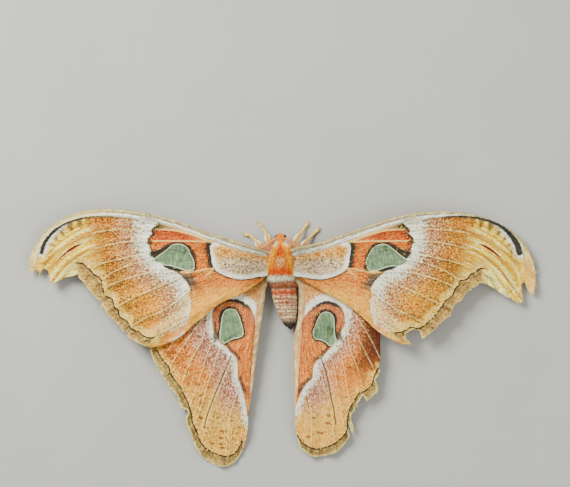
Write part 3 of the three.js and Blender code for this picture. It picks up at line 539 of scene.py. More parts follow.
class Paint:
    """A material made of masks and mixed colours."""

    def __init__(self, name):
        self.material = bpy.data.materials.new(name)
        self.material.use_nodes = True
        self.tree = self.material.node_tree
        self.tree.nodes.clear()
        self.place = self.stretched(self.node("ShaderNodeTexCoord").outputs["Object"], (1 / MM,) * 3)

    def node(self, kind, settings=None, sockets=None):
        node = self.tree.nodes.new(kind)
        for key, value in (settings or {}).items():
            setattr(node, key, value)
        for key, value in (sockets or {}).items():
            if isinstance(value, Value):
                value = value.socket
            if isinstance(value, bpy.types.NodeSocket):
                self.tree.links.new(value, node.inputs[key])
            else:
                node.inputs[key].default_value = value
        return node

    def maths(self, operation, *values):
        node = self.node("ShaderNodeMath", {"operation": operation}, dict(enumerate(values)))
        return Value(self, node.outputs[0])

    def stretched(self, vector, factors):
        node = self.node("ShaderNodeVectorMath", {"operation": "MULTIPLY"}, {0: vector, 1: factors})
        return node.outputs[0]

    def vector(self, x, y):
        return self.node("ShaderNodeCombineXYZ", None, {"X": x, "Y": y}).outputs[0]

    def field(self, name):
        return Value(self, self.node("ShaderNodeAttribute", {"attribute_name": name}).outputs["Fac"])

    def fields(self, names):
        return [self.field(name) for name in names.split()]

    def noise(self, vector, scale, detail=2.0, spread=1.0):
        """Cloudy noise about 0.5; spread widens it."""
        node = self.node("ShaderNodeTexNoise", None, {
            "Vector": vector, "Scale": scale, "Detail": detail, "Roughness": NOISE_ROUGHNESS})
        return (Value(self, node.outputs["Fac"]) - 0.5) * spread + 0.5

    def streaks(self, across, along, changes, spread, detail=2.0):
        """Noise drawn out along a direction; changes says how fast it varies across it and along it."""
        return self.noise(self.vector(across * changes[0], along * changes[1]), 1.0, detail, spread)

    def cells(self, vector, scale):
        """Distance from the middle of the nearest cell."""
        node = self.node("ShaderNodeTexVoronoi", None, {"Vector": vector, "Scale": scale})
        return Value(self, node.outputs["Distance"])

    def mix(self, under, over, mask):
        """One colour laid over another by a mask; three numbers are a screen colour."""
        under, over = (colour(*c) if isinstance(c, tuple) and len(c) == 3 else c for c in (under, over))
        node = self.node("ShaderNodeMix", {"data_type": "RGBA"}, {0: mask, 6: under, 7: over})
        return Coating(self, node.outputs[2])

    def set_grain(self, fine, coarse):
        """Keeps the two speckles that strew scales and fray edges."""
        self.grain = fine * FINE_SHARE + coarse * (1 - FINE_SHARE)
        return (fine - 0.5) * 0.6 + (coarse - 0.5) * 0.6

    def flecked(self, base, dark, light, strength=1.0):
        """A colour with darker and lighter scales strewn over it."""
        darker = self.mix(base, dark, self.grain.above(0.48, 0.74) * strength)
        return self.mix(darker, light, self.grain.below(0.16, 0.46) * strength * LIGHT_FLECKS)

    def finish(self, base, roughness, height=None, bump=0.3, depth=0.0002, **fixed):
        """Closes the material with its base colour, roughness and relief."""
        sockets = {"Base Color": base, "Roughness": roughness}
        if height is not None:
            relief = self.node("ShaderNodeBump", None, {
                "Strength": bump, "Distance": depth, "Height": height})
            sockets["Normal"] = relief.outputs[0]
        sockets.update(fixed)
        shader = self.node("ShaderNodeBsdfPrincipled", None, sockets)
        self.node("ShaderNodeOutputMaterial", None, {"Surface": shader.outputs[0]})
        return self.material


# Colours are screen colours of 0 to 255; the numbers of the masks are millimetres from a line of the pattern.
INK = (48, 42, 34)
WHITE = (243, 238, 226)


def scale_grain(paint):
    """Speckle of the wing scales: fine, coarse, the streaks that run out from the root, and frayed edges."""
    fine = paint.noise(paint.place, 2.0, 2.0, 3.0)
    coarse = paint.noise(paint.place, 0.95, 2.0, 2.8)
    bearing, radius = paint.fields("bearing radius")
    streak = paint.streaks(bearing, radius, (46, 0.16), 2.4)
    rows = paint.streaks(bearing, radius, (70, 3.0), 2.4, 1.0)
    return fine, coarse, streak, rows, paint.set_grain(fine, coarse)


def window_paint(paint, base, window, green):
    """A clear window with its pale rim."""
    fibres = paint.noise(paint.stretched(paint.place, (1.1, 0.3, 1.0)), 1.0, 3.0, 2.6)
    cloud = paint.noise(paint.place, 0.22, 2.0, 2.6)
    glass = paint.mix(green, (104, 126, 98), fibres.above(0.5, 0.95) * 0.6)
    glass.lay((90, 108, 78), cloud.above(0.55, 1.0) * 0.8)
    glass.lay((190, 206, 170), fibres.below(0.1, 0.45) * 0.5)
    filled = paint.mix(base, glass, window.below(-0.15, 0.1))
    return paint.mix(filled, (226, 232, 214), (window + 0.1).size().below(0.06, 0.3) * 0.7)


def margin(paint, khaki, inner, inner_share, light, lightness, hem_colour, hem_share, ragged):
    """The margin outside the wavy line: darker beside it, streaked, lined and with a pale hem."""
    submargin, hem = paint.fields("submargin hem")
    khaki.lay(inner, (submargin + ragged * 1.4).below(0.8, 2.4) * inner_share)
    khaki.lay(light, lightness)
    khaki.lay((124, 98, 62), (submargin - 1.8 + ragged).size().below(0.1, 0.5) * 0.6)
    khaki.lay(hem_colour, (hem + ragged * 0.3).below(0.3, 0.9) * hem_share)
    return khaki


def finish_wing(paint, base, fine, streak, rows, painted_shadow=0.0):
    """Tints single scales, with fewer light ones under a painted shadow, pales the underside and closes the
    material.
    """
    tint = paint.field("tint")
    base.lay((110, 70, 40), tint.below(0.02, 0.3) * 0.42)
    base.lay((252, 230, 190), tint.above(0.72, 0.98) * 0.36 * (1 - painted_shadow))
    wing = paint.mix(paint.mix(base, (196, 150, 122), 0.42), base, paint.field("top"))
    height = fine * 0.4 + rows * 0.5 + streak * 1.4
    return paint.finish(wing, 0.62 + fine * 0.2, height, 0.7, 0.0004, **{"Specular IOR Level": 0.25})


def forewing_material(sizes):
    paint = Paint("forewing_scales")
    costal, edge, window, shade, sliver = paint.fields("costal edge window shade sliver")
    distal, basal, submargin, ink, dash, vein = paint.fields("distal basal submargin ink dash vein")
    hem, trailing, upper, outward = paint.fields("hem trailing upper outward")
    forward, wedge, teeth = paint.fields("forward wedge teeth")
    fine, coarse, streak, rows, ragged = scale_grain(paint)
    threads = paint.streaks(paint.field("bearing"), paint.field("radius"), (120, 0.1), 2.6)

    # outer field, from the white beside the postmedial line to the red before the margin
    low = trailing.above(-3, 9)
    field = paint.mix((203, 146, 88), (234, 196, 118), low)
    inward = submargin + ragged * 4
    field.lay((166, 100, 58), inward.above(-14, -4) * trailing.below(20, 27) * 0.62)
    field.lay((228, 184, 108), vein.above(1.2, 3.4) * inward.below(-6, -2) * 0.35)
    field.lay((176, 112, 72), vein.below(0.6, 2.0) * coarse.above(0.3, 0.6) * 0.5)
    field.lay((176, 108, 58), streak.above(0.5, 0.95) * 0.45)
    field.lay((230, 184, 124), streak.below(0.1, 0.45) * 0.35)
    field = paint.flecked(field, (122, 72, 36), (252, 222, 160), 0.85)
    rosy = paint.flecked((212, 176, 134), (112, 80, 58), (244, 230, 208), 0.95)
    soft_edge = distal + ragged * 5 - forward.above(0, 2) * 3
    field.lay(rosy, soft_edge.below(9, 17) * 0.9)
    bright = paint.flecked((246, 238, 222), (122, 94, 84), WHITE, 0.62)
    field.lay(bright, (soft_edge + streak * 3).below(4.5, 10))
    field.lay(WHITE, (distal + ragged * 3).below(2, 5) * 0.9)
    pale = paint.flecked((238, 218, 180), (190, 150, 104), WHITE, 0.8)
    pale.lay((214, 170, 118), streak.above(0.45, 0.8) * 0.6)
    field.lay(pale, (wedge + ragged * 2.4).below(-1.2, 1.0) * 0.8)
    underedge = (wedge - 2.4 + ragged * 1.6).size().below(0.8, 3.0) * trailing.above(20, 26)
    field.lay((236, 196, 128), underedge * 0.85)
    shadow = (vein - 0.8).size().below(0.1, 0.6)
    field.lay((122, 80, 48), shadow * coarse.above(0.3, 0.6) * 0.6)
    field.lay((240, 222, 190), vein.below(0.1, 0.42) * (0.35 + streak.below(0.3, 0.8) * 0.45))

    # yellow tip with its golden streaks
    strokes = paint.streaks(upper, outward, (0.95, 0.07), 2.8)
    gold = paint.mix((252, 220, 124), (250, 240, 200),
                     (upper + ragged).below(-5, -1.5) * outward.above(92, 97) * 0.7)
    gold.lay((206, 142, 48), strokes.above(0.54, 0.74) * 0.75)
    gold.lay((252, 246, 212), strokes.below(0.26, 0.42) * 0.9)
    gold.lay((184, 130, 42), vein.below(0.25, 0.9) * upper.above(-3, 0.5) * 0.8)
    gold = paint.flecked(gold, (196, 144, 66), (252, 240, 190), 0.3)
    gold.lay((128, 80, 38), teeth * 0.85)
    tip = (outward + ragged * 6 - upper * 0.2).above(85, 93)
    field.lay(gold, tip)
    field.lay((150, 34, 20), dash.below(0.0, 0.3))
    halo = (ink + ragged * 0.6).below(0.6, 2.4) * outward.above(99, 106) * costal.below(-0.4, 1.2)
    field.lay(paint.mix((230, 228, 218), (172, 176, 176), streak.above(0.4, 0.8)), halo)
    blush = (outward + ragged * 3).above(111, 119) * ink.above(1.2, 2.6)
    field.lay((240, 210, 176), blush * 0.65)

    # middle of the wing: red band, orange column and streaked fan
    middle = paint.mix((216, 154, 88), (160, 90, 44), streak.above(0.5, 0.85) * 0.7)
    middle.lay((228, 188, 126), (streak * 0.6 + rows * 0.4).below(0.25, 0.55) * 0.75)
    band = paint.mix((190, 90, 34), (224, 162, 92), (rows * 0.5 + streak * 0.5).above(0.42, 0.72) * 0.85)
    band.lay((226, 196, 160), (distal + streak * 4).below(-22, -13) * 0.85)
    middle.lay(band, upper.above(-0.6, 0.8))
    collar = paint.mix((206, 184, 156), (60, 50, 40), (distal + ragged * 5).above(-7, -2))
    middle.lay(collar, forward.above(-0.3, 0.6))
    fan = paint.mix((220, 146, 82), (246, 202, 150), (trailing + (streak - 0.5) * 11).above(6, 13))
    fan.lay((176, 80, 34), threads.above(0.5, 0.72) * trailing.below(3, 16) * 0.75)
    fan.lay((248, 224, 178), threads.below(0.24, 0.46) * 0.7)
    fan.lay((150, 96, 52), rows.above(0.7, 1.0) * 0.45)
    middle.lay(fan, trailing.above(-0.4, 0.5))
    middle = paint.flecked(middle, (132, 66, 30), (244, 204, 150), 0.4)
    middle.lay((240, 220, 184), vein.below(0.12, 0.5) * trailing.below(2.6, 3.8) * 0.85)
    olive = trailing.above(0.2, 1.4) * (trailing + ragged * 4).below(6, 10)
    olive = olive * (distal + ragged * 2.5 + streak * 2).above(-4.8, -1.8)
    drab = paint.mix((136, 136, 112), (74, 72, 58), threads.above(0.4, 0.65))
    middle.lay(drab, olive * 0.9)
    reach = trailing.below(-0.5, 0.5) * 1.6 - trailing.above(9, 13) * 0.7 + 0.35
    soot = (distal + reach + (ragged + streak - 0.5) * 3.0).above(-0.6, 0.6)
    middle.lay(INK, soot * 0.9)
    wing = paint.mix(middle, field, (distal + ragged * 0.7).above(-0.15, 0.15))

    # patch at the root, framed in white and black
    patch = paint.flecked((246, 196, 128), (150, 92, 54), (252, 236, 210), 0.95)
    sooty = paint.flecked((222, 208, 186), (62, 56, 52), (246, 240, 230), 0.95)
    patch.lay(sooty, (trailing + ragged * 4).above(-5.4, -2.6))
    top_side = costal.above(-6, -4) * outward.below(27, 31)
    patch.lay(WHITE, (basal + ragged * 2.2 - top_side * 2.2).above(-2.4, -1.2))
    line = (basal + ragged * 0.8).below(0.3, 0.8) * trailing.above(0.3, 1.2)
    block = (basal + ragged * 2.8).below(1.6, 3.0) * trailing.below(-0.6, 0.4)
    frame_line = line.most(block) * costal.below(-1.6, -0.4) * distal.below(-6, -4)
    wing.lay((62, 58, 46), frame_line)
    wing.lay(patch, basal.below(-0.15, 0.15))

    # window, its black surround and the sliver below it
    dark = paint.mix((62, 52, 40), (130, 86, 56), streak.above(0.4, 0.8) * 0.6)
    wing.lay(dark, (shade + ragged * 0.8).below(-0.2, 0.5))
    wing.lay(INK, sliver.below(-0.15, 0.25))
    wing = window_paint(paint, wing, window, tuple(sizes.window_green))

    # margin outside the wavy line, with the cream band inside it
    cream = paint.flecked((236, 214, 162), (180, 138, 84), (250, 242, 214), 0.7)
    bulge = vein.above(0.5, 2.6) * 1.8
    inner_band = (submargin + ragged * 1.6 + bulge).above(-2.4, -1.2) * outward.below(97, 101)
    wing.lay(cream, inner_band)
    khaki = paint.mix((204, 186, 134), (116, 88, 54), vein.below(0.3, 1.5) * coarse.above(0.3, 0.6) * 0.85)
    pale = streak.below(0.2, 0.5) * 0.6
    khaki = margin(paint, khaki, (142, 114, 72), 0.6, (226, 212, 166), pale, (232, 220, 180), 0.75, ragged)
    outside = submargin.above(-0.1, 0.1) * outward.below(95.2, 96.4)
    wing.lay(khaki, outside)
    wavy = (submargin + ragged * 0.1).size().below(0.22, 0.5)
    wing.lay(INK, wavy * outward.below(96.5, 98.5))
    crease = (hem - 3.4 + ragged * 1.6).size().below(0.3, 0.9)
    lobe = paint.mix((246, 238, 198), (168, 172, 138), crease * 0.8)
    lobe.lay((206, 164, 76), strokes.above(0.55, 0.75) * 0.7)
    wing.lay(lobe, outward.above(95.5, 97) * (hem + ragged).below(4.4, 7) * upper.below(-7, -3))

    # front edge
    across = edge / (edge + costal.most(0.0) + 0.1)
    across = across + (streak - 0.5) * 0.14 + (fine - 0.5) * 0.12
    rim = paint.mix((236, 224, 196), (160, 136, 126), (across + ragged * 0.16).above(0.16, 0.3) * 0.8)
    rim.lay(WHITE, (across + ragged * 0.16).above(0.4, 0.56))
    rim.lay((156, 138, 122), across.above(0.72, 0.95) * 0.8)
    strands = paint.streaks(across, outward, (7, 0.09), 2.4)
    rim.lay((158, 134, 124), strands.above(0.45, 0.8) * outward.below(60, 90) * 0.75)
    rim.lay((150, 134, 118), fine.above(0.6, 0.9) * 0.4)
    rim.lay((222, 214, 168), outward.above(74, 96) * 0.55)
    rim.lay((112, 94, 66), (edge + ragged * 0.2).below(0.2, 0.6) * 0.6)
    wing.lay(rim, costal.above(-0.15, 0.25) * outward.below(116, 118))
    wing.lay((58, 58, 48), (ink + ragged * 0.5).below(-0.25, 0.35))

    return finish_wing(paint, wing, fine, streak, rows)


def hindwing_material(sizes):
    paint = Paint("hindwing_scales")
    window, ring, distal, submargin, vein = paint.fields("window ring distal submargin vein")
    inner, back, warm, outward, darkvein = paint.fields("inner back warm outward darkvein")
    fine, coarse, streak, rows, ragged = scale_grain(paint)

    # outer field: white beside the ring, rosy grey, orange-red to the side, light orange at the tail, and on
    # the right wing a painted shadow of the forewing
    tail = (back + ragged * 5).above(52, 72)
    field = paint.mix((232, 184, 126), (242, 208, 162), tail)
    # on the right wing the orange side is wider, darker red and less flecked, and the rosy grey pulled back:
    # painted shade where the forewing's shadow falls
    side = (distal - back * 0.1 + ragged * 5 + warm * 2).above(6, 13)
    orange = paint.mix((234, 168, 106), (204, 124, 66), streak.above(0.3, 0.7))
    orange.lay(paint.mix((190, 96, 40), (158, 74, 32), streak.above(0.3, 0.7)), warm * 0.85)
    field.lay(orange, side * (back + ragged * 4).below(44, 60))
    field.lay((242, 208, 158), streak.below(0.12, 0.45) * (0.5 - warm * 0.3))
    field.lay((172, 104, 60), streak.above(0.55, 0.95) * 0.45)
    field = paint.flecked(field, (150, 94, 54), (252, 230, 180), 0.7 - warm * 0.35)
    # darkest part of the painted shadow that the forewing casts on the right hindwing
    forewing_shadow = warm * (outward + ragged * 5).above(32, 43) * (back + ragged * 5).below(42, 60)
    field.lay((112, 50, 18), forewing_shadow * 0.92)
    rosy = paint.flecked((208, 170, 146), (92, 68, 60), (242, 226, 214), 1.0)
    near = distal + ragged * 7 + (streak - 0.5) * 3 - back * 0.02 + warm * back.below(46, 66) * 4.5
    field.lay(rosy, near.below(7, 14) * (back + ragged * 8).below(62, 78))
    bright = paint.flecked((244, 234, 224), (170, 142, 130), WHITE, 0.5)
    field.lay(bright, (distal + ragged * 2.6).below(1.2, 3.8) * back.below(76, 86))
    spots = paint.cells(paint.stretched(paint.place, (0.2, 0.34, 0.0)), 1.0)
    spotted = submargin.above(-15, -11) * submargin.below(-3.6, -2.4)
    field.lay((172, 100, 44), spots.below(0.16, 0.32) * spotted * 0.85)
    shadow = (vein - 0.7).size().below(0.1, 0.5)
    field.lay((130, 88, 58), shadow * coarse.above(0.4, 0.7) * 0.55)
    field.lay((246, 228, 200), vein.below(0.08, 0.38) * (0.2 + streak.below(0.3, 0.8) * 0.4))

    # base: rosy brown towards the root and white above the ring
    base = paint.flecked((246, 204, 162), (200, 146, 114), (248, 228, 208), 0.7)
    base.lay(WHITE, (ring + ragged * 1.8).below(3.0, 4.4) * back.below(24, 31))
    wing = paint.mix(base, field, (distal + ragged * 0.4).above(-0.1, 0.2))

    # ring and the strip that runs back from it
    strip = paint.mix((224, 180, 124), (196, 122, 66), streak.above(0.45, 0.7) * 0.8)
    strip.lay((234, 202, 148), streak.below(0.2, 0.5) * 0.7)
    arch = paint.mix((208, 162, 118), strip, back.above(28, 36))
    arch = paint.flecked(arch, (144, 84, 56), (236, 190, 150), 0.5)
    wing.lay(arch, ring.below(-0.1, 0.2))
    top_band = (ring + ragged * 0.7 + 0.5).size().below(0.5, 1.2) * back.below(20, 25)
    notches = (back - 42.5).size().below(3.5, 6.5).most((back - 58.5).size().below(2.5, 6.0))
    zigzag = (ring + ragged * 0.8 + 0.6).size().below(0.3, 1.6) * distal.size().below(1.6, 2.8)
    corner = (distal + ragged * 0.5).above(-2.4, -1.4) * window.below(2.6, 3.6)
    corner = corner * back.above(24, 27) * back.below(36, 39)
    edging = ring.size().below(0.1, 0.4) * 0.45
    rings = top_band.most(zigzag * (notches * 0.7 + 0.15)).most(corner * 0.9).most(edging)
    wing.lay((76, 62, 58), rings)
    halo = (window + ragged * 0.3).below(1.1, 1.8) * ring.below(-0.4, 0.1) * back.below(28, 31)
    wing.lay((68, 56, 50), halo)
    foot = (window + ragged * 0.5).below(0.6, 1.2) * ring.below(-0.4, 0.1)
    wing.lay((60, 46, 40), foot)
    wing = window_paint(paint, wing, window, tuple(sizes.window_green))
    wing.lay((244, 226, 196), (darkvein - 0.9).size().below(0.1, 0.7) * 0.18)
    wing.lay((70, 54, 46), darkvein.below(0.16, 0.5) * 0.85)

    # pale strip along the body, then the margin outside the wavy line
    fold = paint.mix((222, 206, 178), (244, 234, 212), streak.above(0.4, 0.8) * 0.8)
    fold.lay((216, 186, 158), coarse.above(0.5, 0.8) * 0.35)
    # a darker line along the inner edge and a darker band further out: painted shade of the fold
    fold.lay((150, 130, 98), (inner + ragged * 0.4).below(0.3, 0.9) * 0.45)
    fold.lay((212, 186, 154), (inner + ragged * 0.4).above(1.9, 2.3) * 0.7)
    beside = (inner + ragged * 0.5).below(2.8, 3.8).most(back.above(24, 30) * distal.below(-0.4, 0))
    wing.lay(fold, beside * ring.above(0.2, 0.6) * back.below(60, 66))
    cream = paint.flecked((230, 206, 146), (196, 140, 70), (250, 240, 206), 0.8)
    bulge = vein.above(0.5, 2.6) * 2.0
    wing.lay(cream, (submargin + ragged * 2.0 + bulge).above(-2.2, -1.0))
    khaki = paint.mix((198, 182, 130), (112, 86, 52), vein.below(0.3, 1.4) * coarse.above(0.3, 0.6) * 0.85)
    pale = streak.below(0.25, 0.55) * 0.55
    khaki = margin(paint, khaki, (132, 108, 68), 0.65, (224, 212, 168), pale, (236, 226, 192), 0.8, ragged)
    wing.lay(khaki, submargin.above(-0.1, 0.1))
    wing.lay(INK, (submargin + ragged * 0.1).size().below(0.2, 0.48))

    return finish_wing(paint, wing, fine, streak, rows, forewing_shadow * 0.85)


def body_material(name, sizes):
    """The body's markings, worn by its skin and by its fur."""
    paint = Paint(name)
    down, side, stripe, leg, along, tint = paint.fields("down side stripe leg along tint")
    fine = paint.noise(paint.place, 2.2, 2.0, 2.6)
    coarse = paint.noise(paint.place, 0.7, 2.0, 2.4)
    paint.set_grain(fine, coarse)
    jitter = (coarse - 0.5) * 1.2 + (tint - 0.5) * 1.3
    shown = down - FUR_TRAIL
    spot = shown + jitter

    # thorax, from the orange collar to the white band
    red = tuple(sizes.thorax_red)
    thorax = paint.mix(red, (246, 172, 60), spot.above(2.6, 5.0))
    thorax.lay((255, 176, 72), spot.below(-3.6, -1.8) * 0.9)
    from_patch = paint.maths("SQRT", side * side + (spot - 0.3) * (spot - 0.3))
    from_patch = from_patch + (coarse - 0.5) * 1.6 + (tint - 0.5) * 1.8
    thorax.lay((250, 226, 208), from_patch.below(1.4, 2.9) * tint.above(0.26, 0.34) * 0.85)
    thorax.lay((190, 66, 30), tint.above(0.8, 0.86) * 0.7)
    flank = (side + down * 0.36 + jitter * 0.4).above(5.5, 6.3)
    thorax.lay(paint.mix((248, 164, 112), (248, 224, 196), tint.above(0.72, 0.9)), flank)
    band = paint.mix(tuple(sizes.stripe_orange), (252, 234, 190), spot.below(-4.6, -2.4))
    thorax.lay(band, (stripe + jitter * 0.2).below(0.7, 1.1))
    white = paint.flecked((242, 234, 218), (150, 132, 112), WHITE, 0.4)
    thorax.lay(white, (shown + jitter * 0.8).below(-6.4, -5.8))
    corner = (shown + jitter * 0.7).below(-6.0, -5.0) * side.above(5.7, 6.6)
    thorax.lay((214, 196, 170), corner)

    # abdomen, ringed red-brown and cream, with a dark tip
    wander = (paint.noise(paint.place, 0.32, 1.0, 2.6) - 0.5) * 0.7
    rings = paint.maths("SINE", (shown + wander + jitter * 0.28) * (2 * math.pi / RING_SPACING))
    cream = (rings + (fine - 0.5) * 1.2 + spot.below(-21, -17) * 0.5).above(0.1, 0.7)
    ringed = paint.mix((196, 110, 74), (255, 230, 214), cream)
    ringed.lay((222, 142, 98), spot.above(-19, -14) * 0.45)
    ringed.lay((238, 220, 196), (side + jitter * 0.5).above(4.1, 5.2) * 0.7)
    first = paint.mix((196, 138, 100), (140, 94, 66), tint.above(0.5, 0.8))
    abdomen = paint.mix(ringed, first, (shown + jitter * 0.3).above(-13.2, -12.6))
    abdomen.lay((238, 220, 200), (shown + 13.2 + jitter * 0.2).size().below(0.2, 0.5))
    abdomen.lay((206, 126, 72), (shown + 14.5 + jitter * 0.3).size().below(0.6, 1.1))
    abdomen.lay((96, 84, 62), spot.below(-29.4, -27.8))
    body = paint.mix(thorax, abdomen, (shown + jitter * 0.8).below(-8.7, -8.1))

    # head and legs
    head = paint.mix((248, 204, 146), (228, 160, 108), tint.above(0.4, 0.8) * 0.7)
    flare = (side + jitter * 0.3).above(1.3, 1.8) * (down - 9.2).size().below(0.8, 1.6)
    head.lay((246, 234, 216), flare)
    body.lay(head, (down + jitter * 0.3).above(8.0, 8.7))
    limb = paint.mix((226, 202, 156), (184, 148, 124), (fine * 0.5 + tint * 0.5).above(0.4, 0.7) * 0.8)
    limb.lay((246, 232, 212), paint.field("rim").above(0.5, 0.8))
    cuffs = paint.maths("SINE", along * CUFF_TURNS).above(0.2, 0.8) * along.above(0.66, 0.7)
    limb.lay((238, 222, 178), along.above(0.62, 0.66) * 0.6)
    limb.lay((150, 104, 66), cuffs * 0.5 * along.below(0.9, 0.94))
    body.lay(limb, leg)
    body.lay((120, 70, 46), tint.below(0.1, 0.3) * (1 - leg) * 0.3)
    body.lay(WHITE, tint.above(0.75, 0.98) * down.below(-8, -6) * 0.3)
    height = fine * 0.6 + coarse * 0.4
    return paint.finish(body, 0.7 + fine * 0.2, height, 0.5, 0.0002, **{"Specular IOR Level": 0.2})


def eye_material():
    paint = Paint("eye_gloss")
    facets = paint.cells(paint.place, 9.0)
    dark = paint.mix((40, 30, 24), (84, 62, 44), facets.above(0.2, 0.6))
    return paint.finish(dark, 0.18, facets, 0.4, 0.00004, **{"Coat Weight": 0.4})


def antenna_material():
    paint = Paint("antenna_chitin")
    grain = paint.noise(paint.place, 1.6, 2.0, 2.4)
    tan = paint.mix((222, 190, 140), (180, 140, 96), grain.above(0.4, 0.8))
    return paint.finish(tan, 0.55, grain, 0.3, 0.00005)


# Wings

def fore_height(points):
    along = np.clip(points[:, 0] / FORE_SPAN, 0, 1)
    root, arch, tip = FORE_ARCH
    drop = FORE_TRAILING_DROP * np.clip(-points[:, 1] / FORE_CHORD, 0, 1) ** 2
    return root * (1 - along) ** 2 + 2 * arch * along * (1 - along) + tip * along ** 2 - drop


def hind_height(points):
    along = np.clip(np.linalg.norm(points - HIND_ROOT, axis=1) / HIND_SPAN, 0, 1)
    root, arch, tip = HIND_ARCH
    return root * (1 - along) ** 2 + 2 * arch * along * (1 - along) + tip * along ** 2


def fill_outline(outline, step):
    """Points and triangles that fill a closed outline evenly."""
    low, high = outline.min(0), outline.max(0)
    rows = np.arange(low[1], high[1], step * math.sqrt(3) / 2)
    columns = np.arange(low[0], high[0], step)
    grid_x, grid_y = np.meshgrid(columns, rows)
    grid_x = grid_x + (np.arange(len(rows)) % 2)[:, None] * step / 2
    fill = np.column_stack([grid_x.ravel(), grid_y.ravel()])
    fill = fill[inside(fill, outline)]
    gap, _ = distance_along(fill, np.vstack([outline, outline[:1]]))
    fill = fill[gap > step * 0.55]
    count = len(outline)
    points = [Vector(p) for p in np.vstack([outline, fill])]
    edges = [(i, (i + 1) % count) for i in range(count)]
    spots, _, faces, _, _, _ = delaunay_2d_cdt(points, edges, [], 1, 1e-6)
    return np.array([tuple(p) for p in spots]), np.array(faces)


def turned(points, centre, angle):
    """Points turned about a centre."""
    cos, sin = math.cos(angle), math.sin(angle)
    return (points - centre) @ np.array([[cos, sin], [-sin, cos]]) + centre


def shared_fields(points, outline, veins, root):
    """Fields that both pairs of wings use."""
    gap, _ = distance_along(points, np.vstack([outline, outline[:1]]))
    away = points - root
    return {
        "hem": gap,
        "vein": np.min([distance_along(points, curve_through(vein, 1.0))[0] for vein in veins], axis=0),
        "radius": np.linalg.norm(away, axis=1),
        "bearing": np.arctan2(away[:, 1], away[:, 0]),
        "outward": points[:, 0],
        "back": -points[:, 1],
    }


FAR = 300.0


def run_on(pixels):
    """A smooth line of the left wing's pattern that goes straight on past its end."""
    line = curve_through(from_photo(pixels, -1), 1.0)
    return np.vstack([line, line[-1] + (line[-1] - line[-3]) * FAR])


def forewing_fields(points, outline, side_name):
    """How far each point lies from the lines of the forewing's pattern."""
    def own(pixels):
        return from_photo(pixels, -1)

    def closed(pixels, side, step):
        return signed_outline(points, curve_through(from_photo(pixels, side), step, True))

    side = SIDES[side_name]
    fields = shared_fields(points, outline, [own(vein) for vein in FOREWING_VEINS], np.array(FORE_ROOT))
    costal_line = curve_through(own(COSTAL_VEIN), 1.0)
    fields["costal"] = signed_line(points, costal_line, [(FAR, costal_line[-1, 1]), (FAR, FAR), (-FAR, FAR),
                                                         (-FAR, costal_line[0, 1])])
    fields["edge"], _ = distance_along(points, curve_through(
        from_photo((FOREWING_LEFT_OUTLINE if side < 0 else FOREWING_RIGHT_OUTLINE)[0][1], side), 1.0))
    fields["window"] = closed(FORE_WINDOW[side_name], side, 0.5)
    fields["shade"] = closed(FORE_SHADE, -1, 0.5)
    fields["sliver"] = signed_outline(points, own(FORE_SLIVER))
    pale_edge = own(POSTMEDIAL_LINE)
    fields["distal"] = signed_line(points, pale_edge, [(pale_edge[-1, 0] - 4, -FAR), (FAR, -FAR), (FAR, FAR)])
    fields["basal"] = closed(BASAL_PATCH, -1, 0.8)
    wavy = curve_through(from_photo(FORE_SUBMARGIN[side_name], side), 0.5)
    fields["submargin"] = signed_line(points, wavy, [(FAR, -FAR)])
    streak = curve_through(own(APEX_STREAK), 0.5)
    streak_gap, along = distance_along(points, streak)
    stations = np.linspace(0, len(streak) - 1, len(APEX_STREAK))
    fields["ink"] = streak_gap - np.interp(along, stations, APEX_STREAK_WIDTH[side_name])
    gap, at = distance_along(points, own(RED_DASH))
    taper = np.sin(math.pi * np.clip(at / (len(RED_DASH) - 1), 0.08, 0.92))
    fields["dash"] = gap - RED_DASH_HALF_WIDTH * taper
    main = run_on(MAIN_VEIN)
    fields["trailing"] = signed_line(points, main, [(-FAR, -FAR), (-FAR, main[0, 1])])
    third = run_on(THIRD_VEIN)
    fields["upper"] = signed_line(points, third, [(FAR, FAR), (-FAR, FAR), (-FAR, third[0, 1])])
    second = run_on(SECOND_VEIN)
    fields["forward"] = signed_line(points, second, [(FAR, FAR), (-FAR, FAR), (-FAR, second[0, 1])])
    fields["wedge"] = signed_outline(points, own(PALE_WEDGE))
    wave = np.sin(along * math.pi / TOOTH_SPACING + 0.7 * np.sin(along * 0.13)) - streak_gap * 0.3
    under = smooth(-fields["costal"], -1.0, 0.5) * (1 - smooth(streak_gap, 4.4, 5.6))
    fields["teeth"] = smooth(wave, -0.9, -0.4) * under * smooth(points[:, 0], 78, 88) * (
        1 - smooth(points[:, 0], 108, 112))
    return fields


def hindwing_fields(points, outline, side_name):
    """How far each point lies from the lines of the hindwing's pattern."""
    side = SIDES[side_name]
    veins = [from_photo(vein, -1) for vein in HINDWING_VEINS]
    if side > 0:
        veins = [turned(vein, HIND_ROOT, HIND_RIGHT_TURN) for vein in veins]
    fields = shared_fields(points, outline, veins, np.array(HIND_ROOT))
    for name, outlines, step in (("window", HIND_WINDOW, 0.5), ("ring", EYE_RING, 0.6)):
        closed = curve_through(from_photo(outlines[side_name], side), step, True)
        fields[name] = signed_outline(points, closed)
    distal = from_photo(HIND_DISTAL[side_name], side)
    corners = [(distal[-1, 0], -FAR), (FAR, -FAR), (FAR, 0), (distal[0, 0], 0)]
    fields["distal"] = signed_line(points, distal, corners)
    submargin = curve_through(from_photo(HIND_SUBMARGIN[side_name], side), 0.5)
    fields["submargin"] = signed_line(points, submargin, [(submargin[-1, 0], -FAR), (FAR, -FAR),
                                                          (FAR, submargin[0, 1])])
    fields["darkvein"], _ = distance_along(points, from_photo(DARK_VEIN[side_name], side))
    inner = from_photo((HINDWING_LEFT_OUTLINE if side < 0 else HINDWING_RIGHT_OUTLINE)[-1][1], side)
    fields["inner"], _ = distance_along(points, inner)
    # 1 on the right wing, which takes painted shade of the forewing's shadow, 0 on the left
    fields["warm"] = np.full(len(points), 1.0 if side > 0 else 0.0)
    return fields


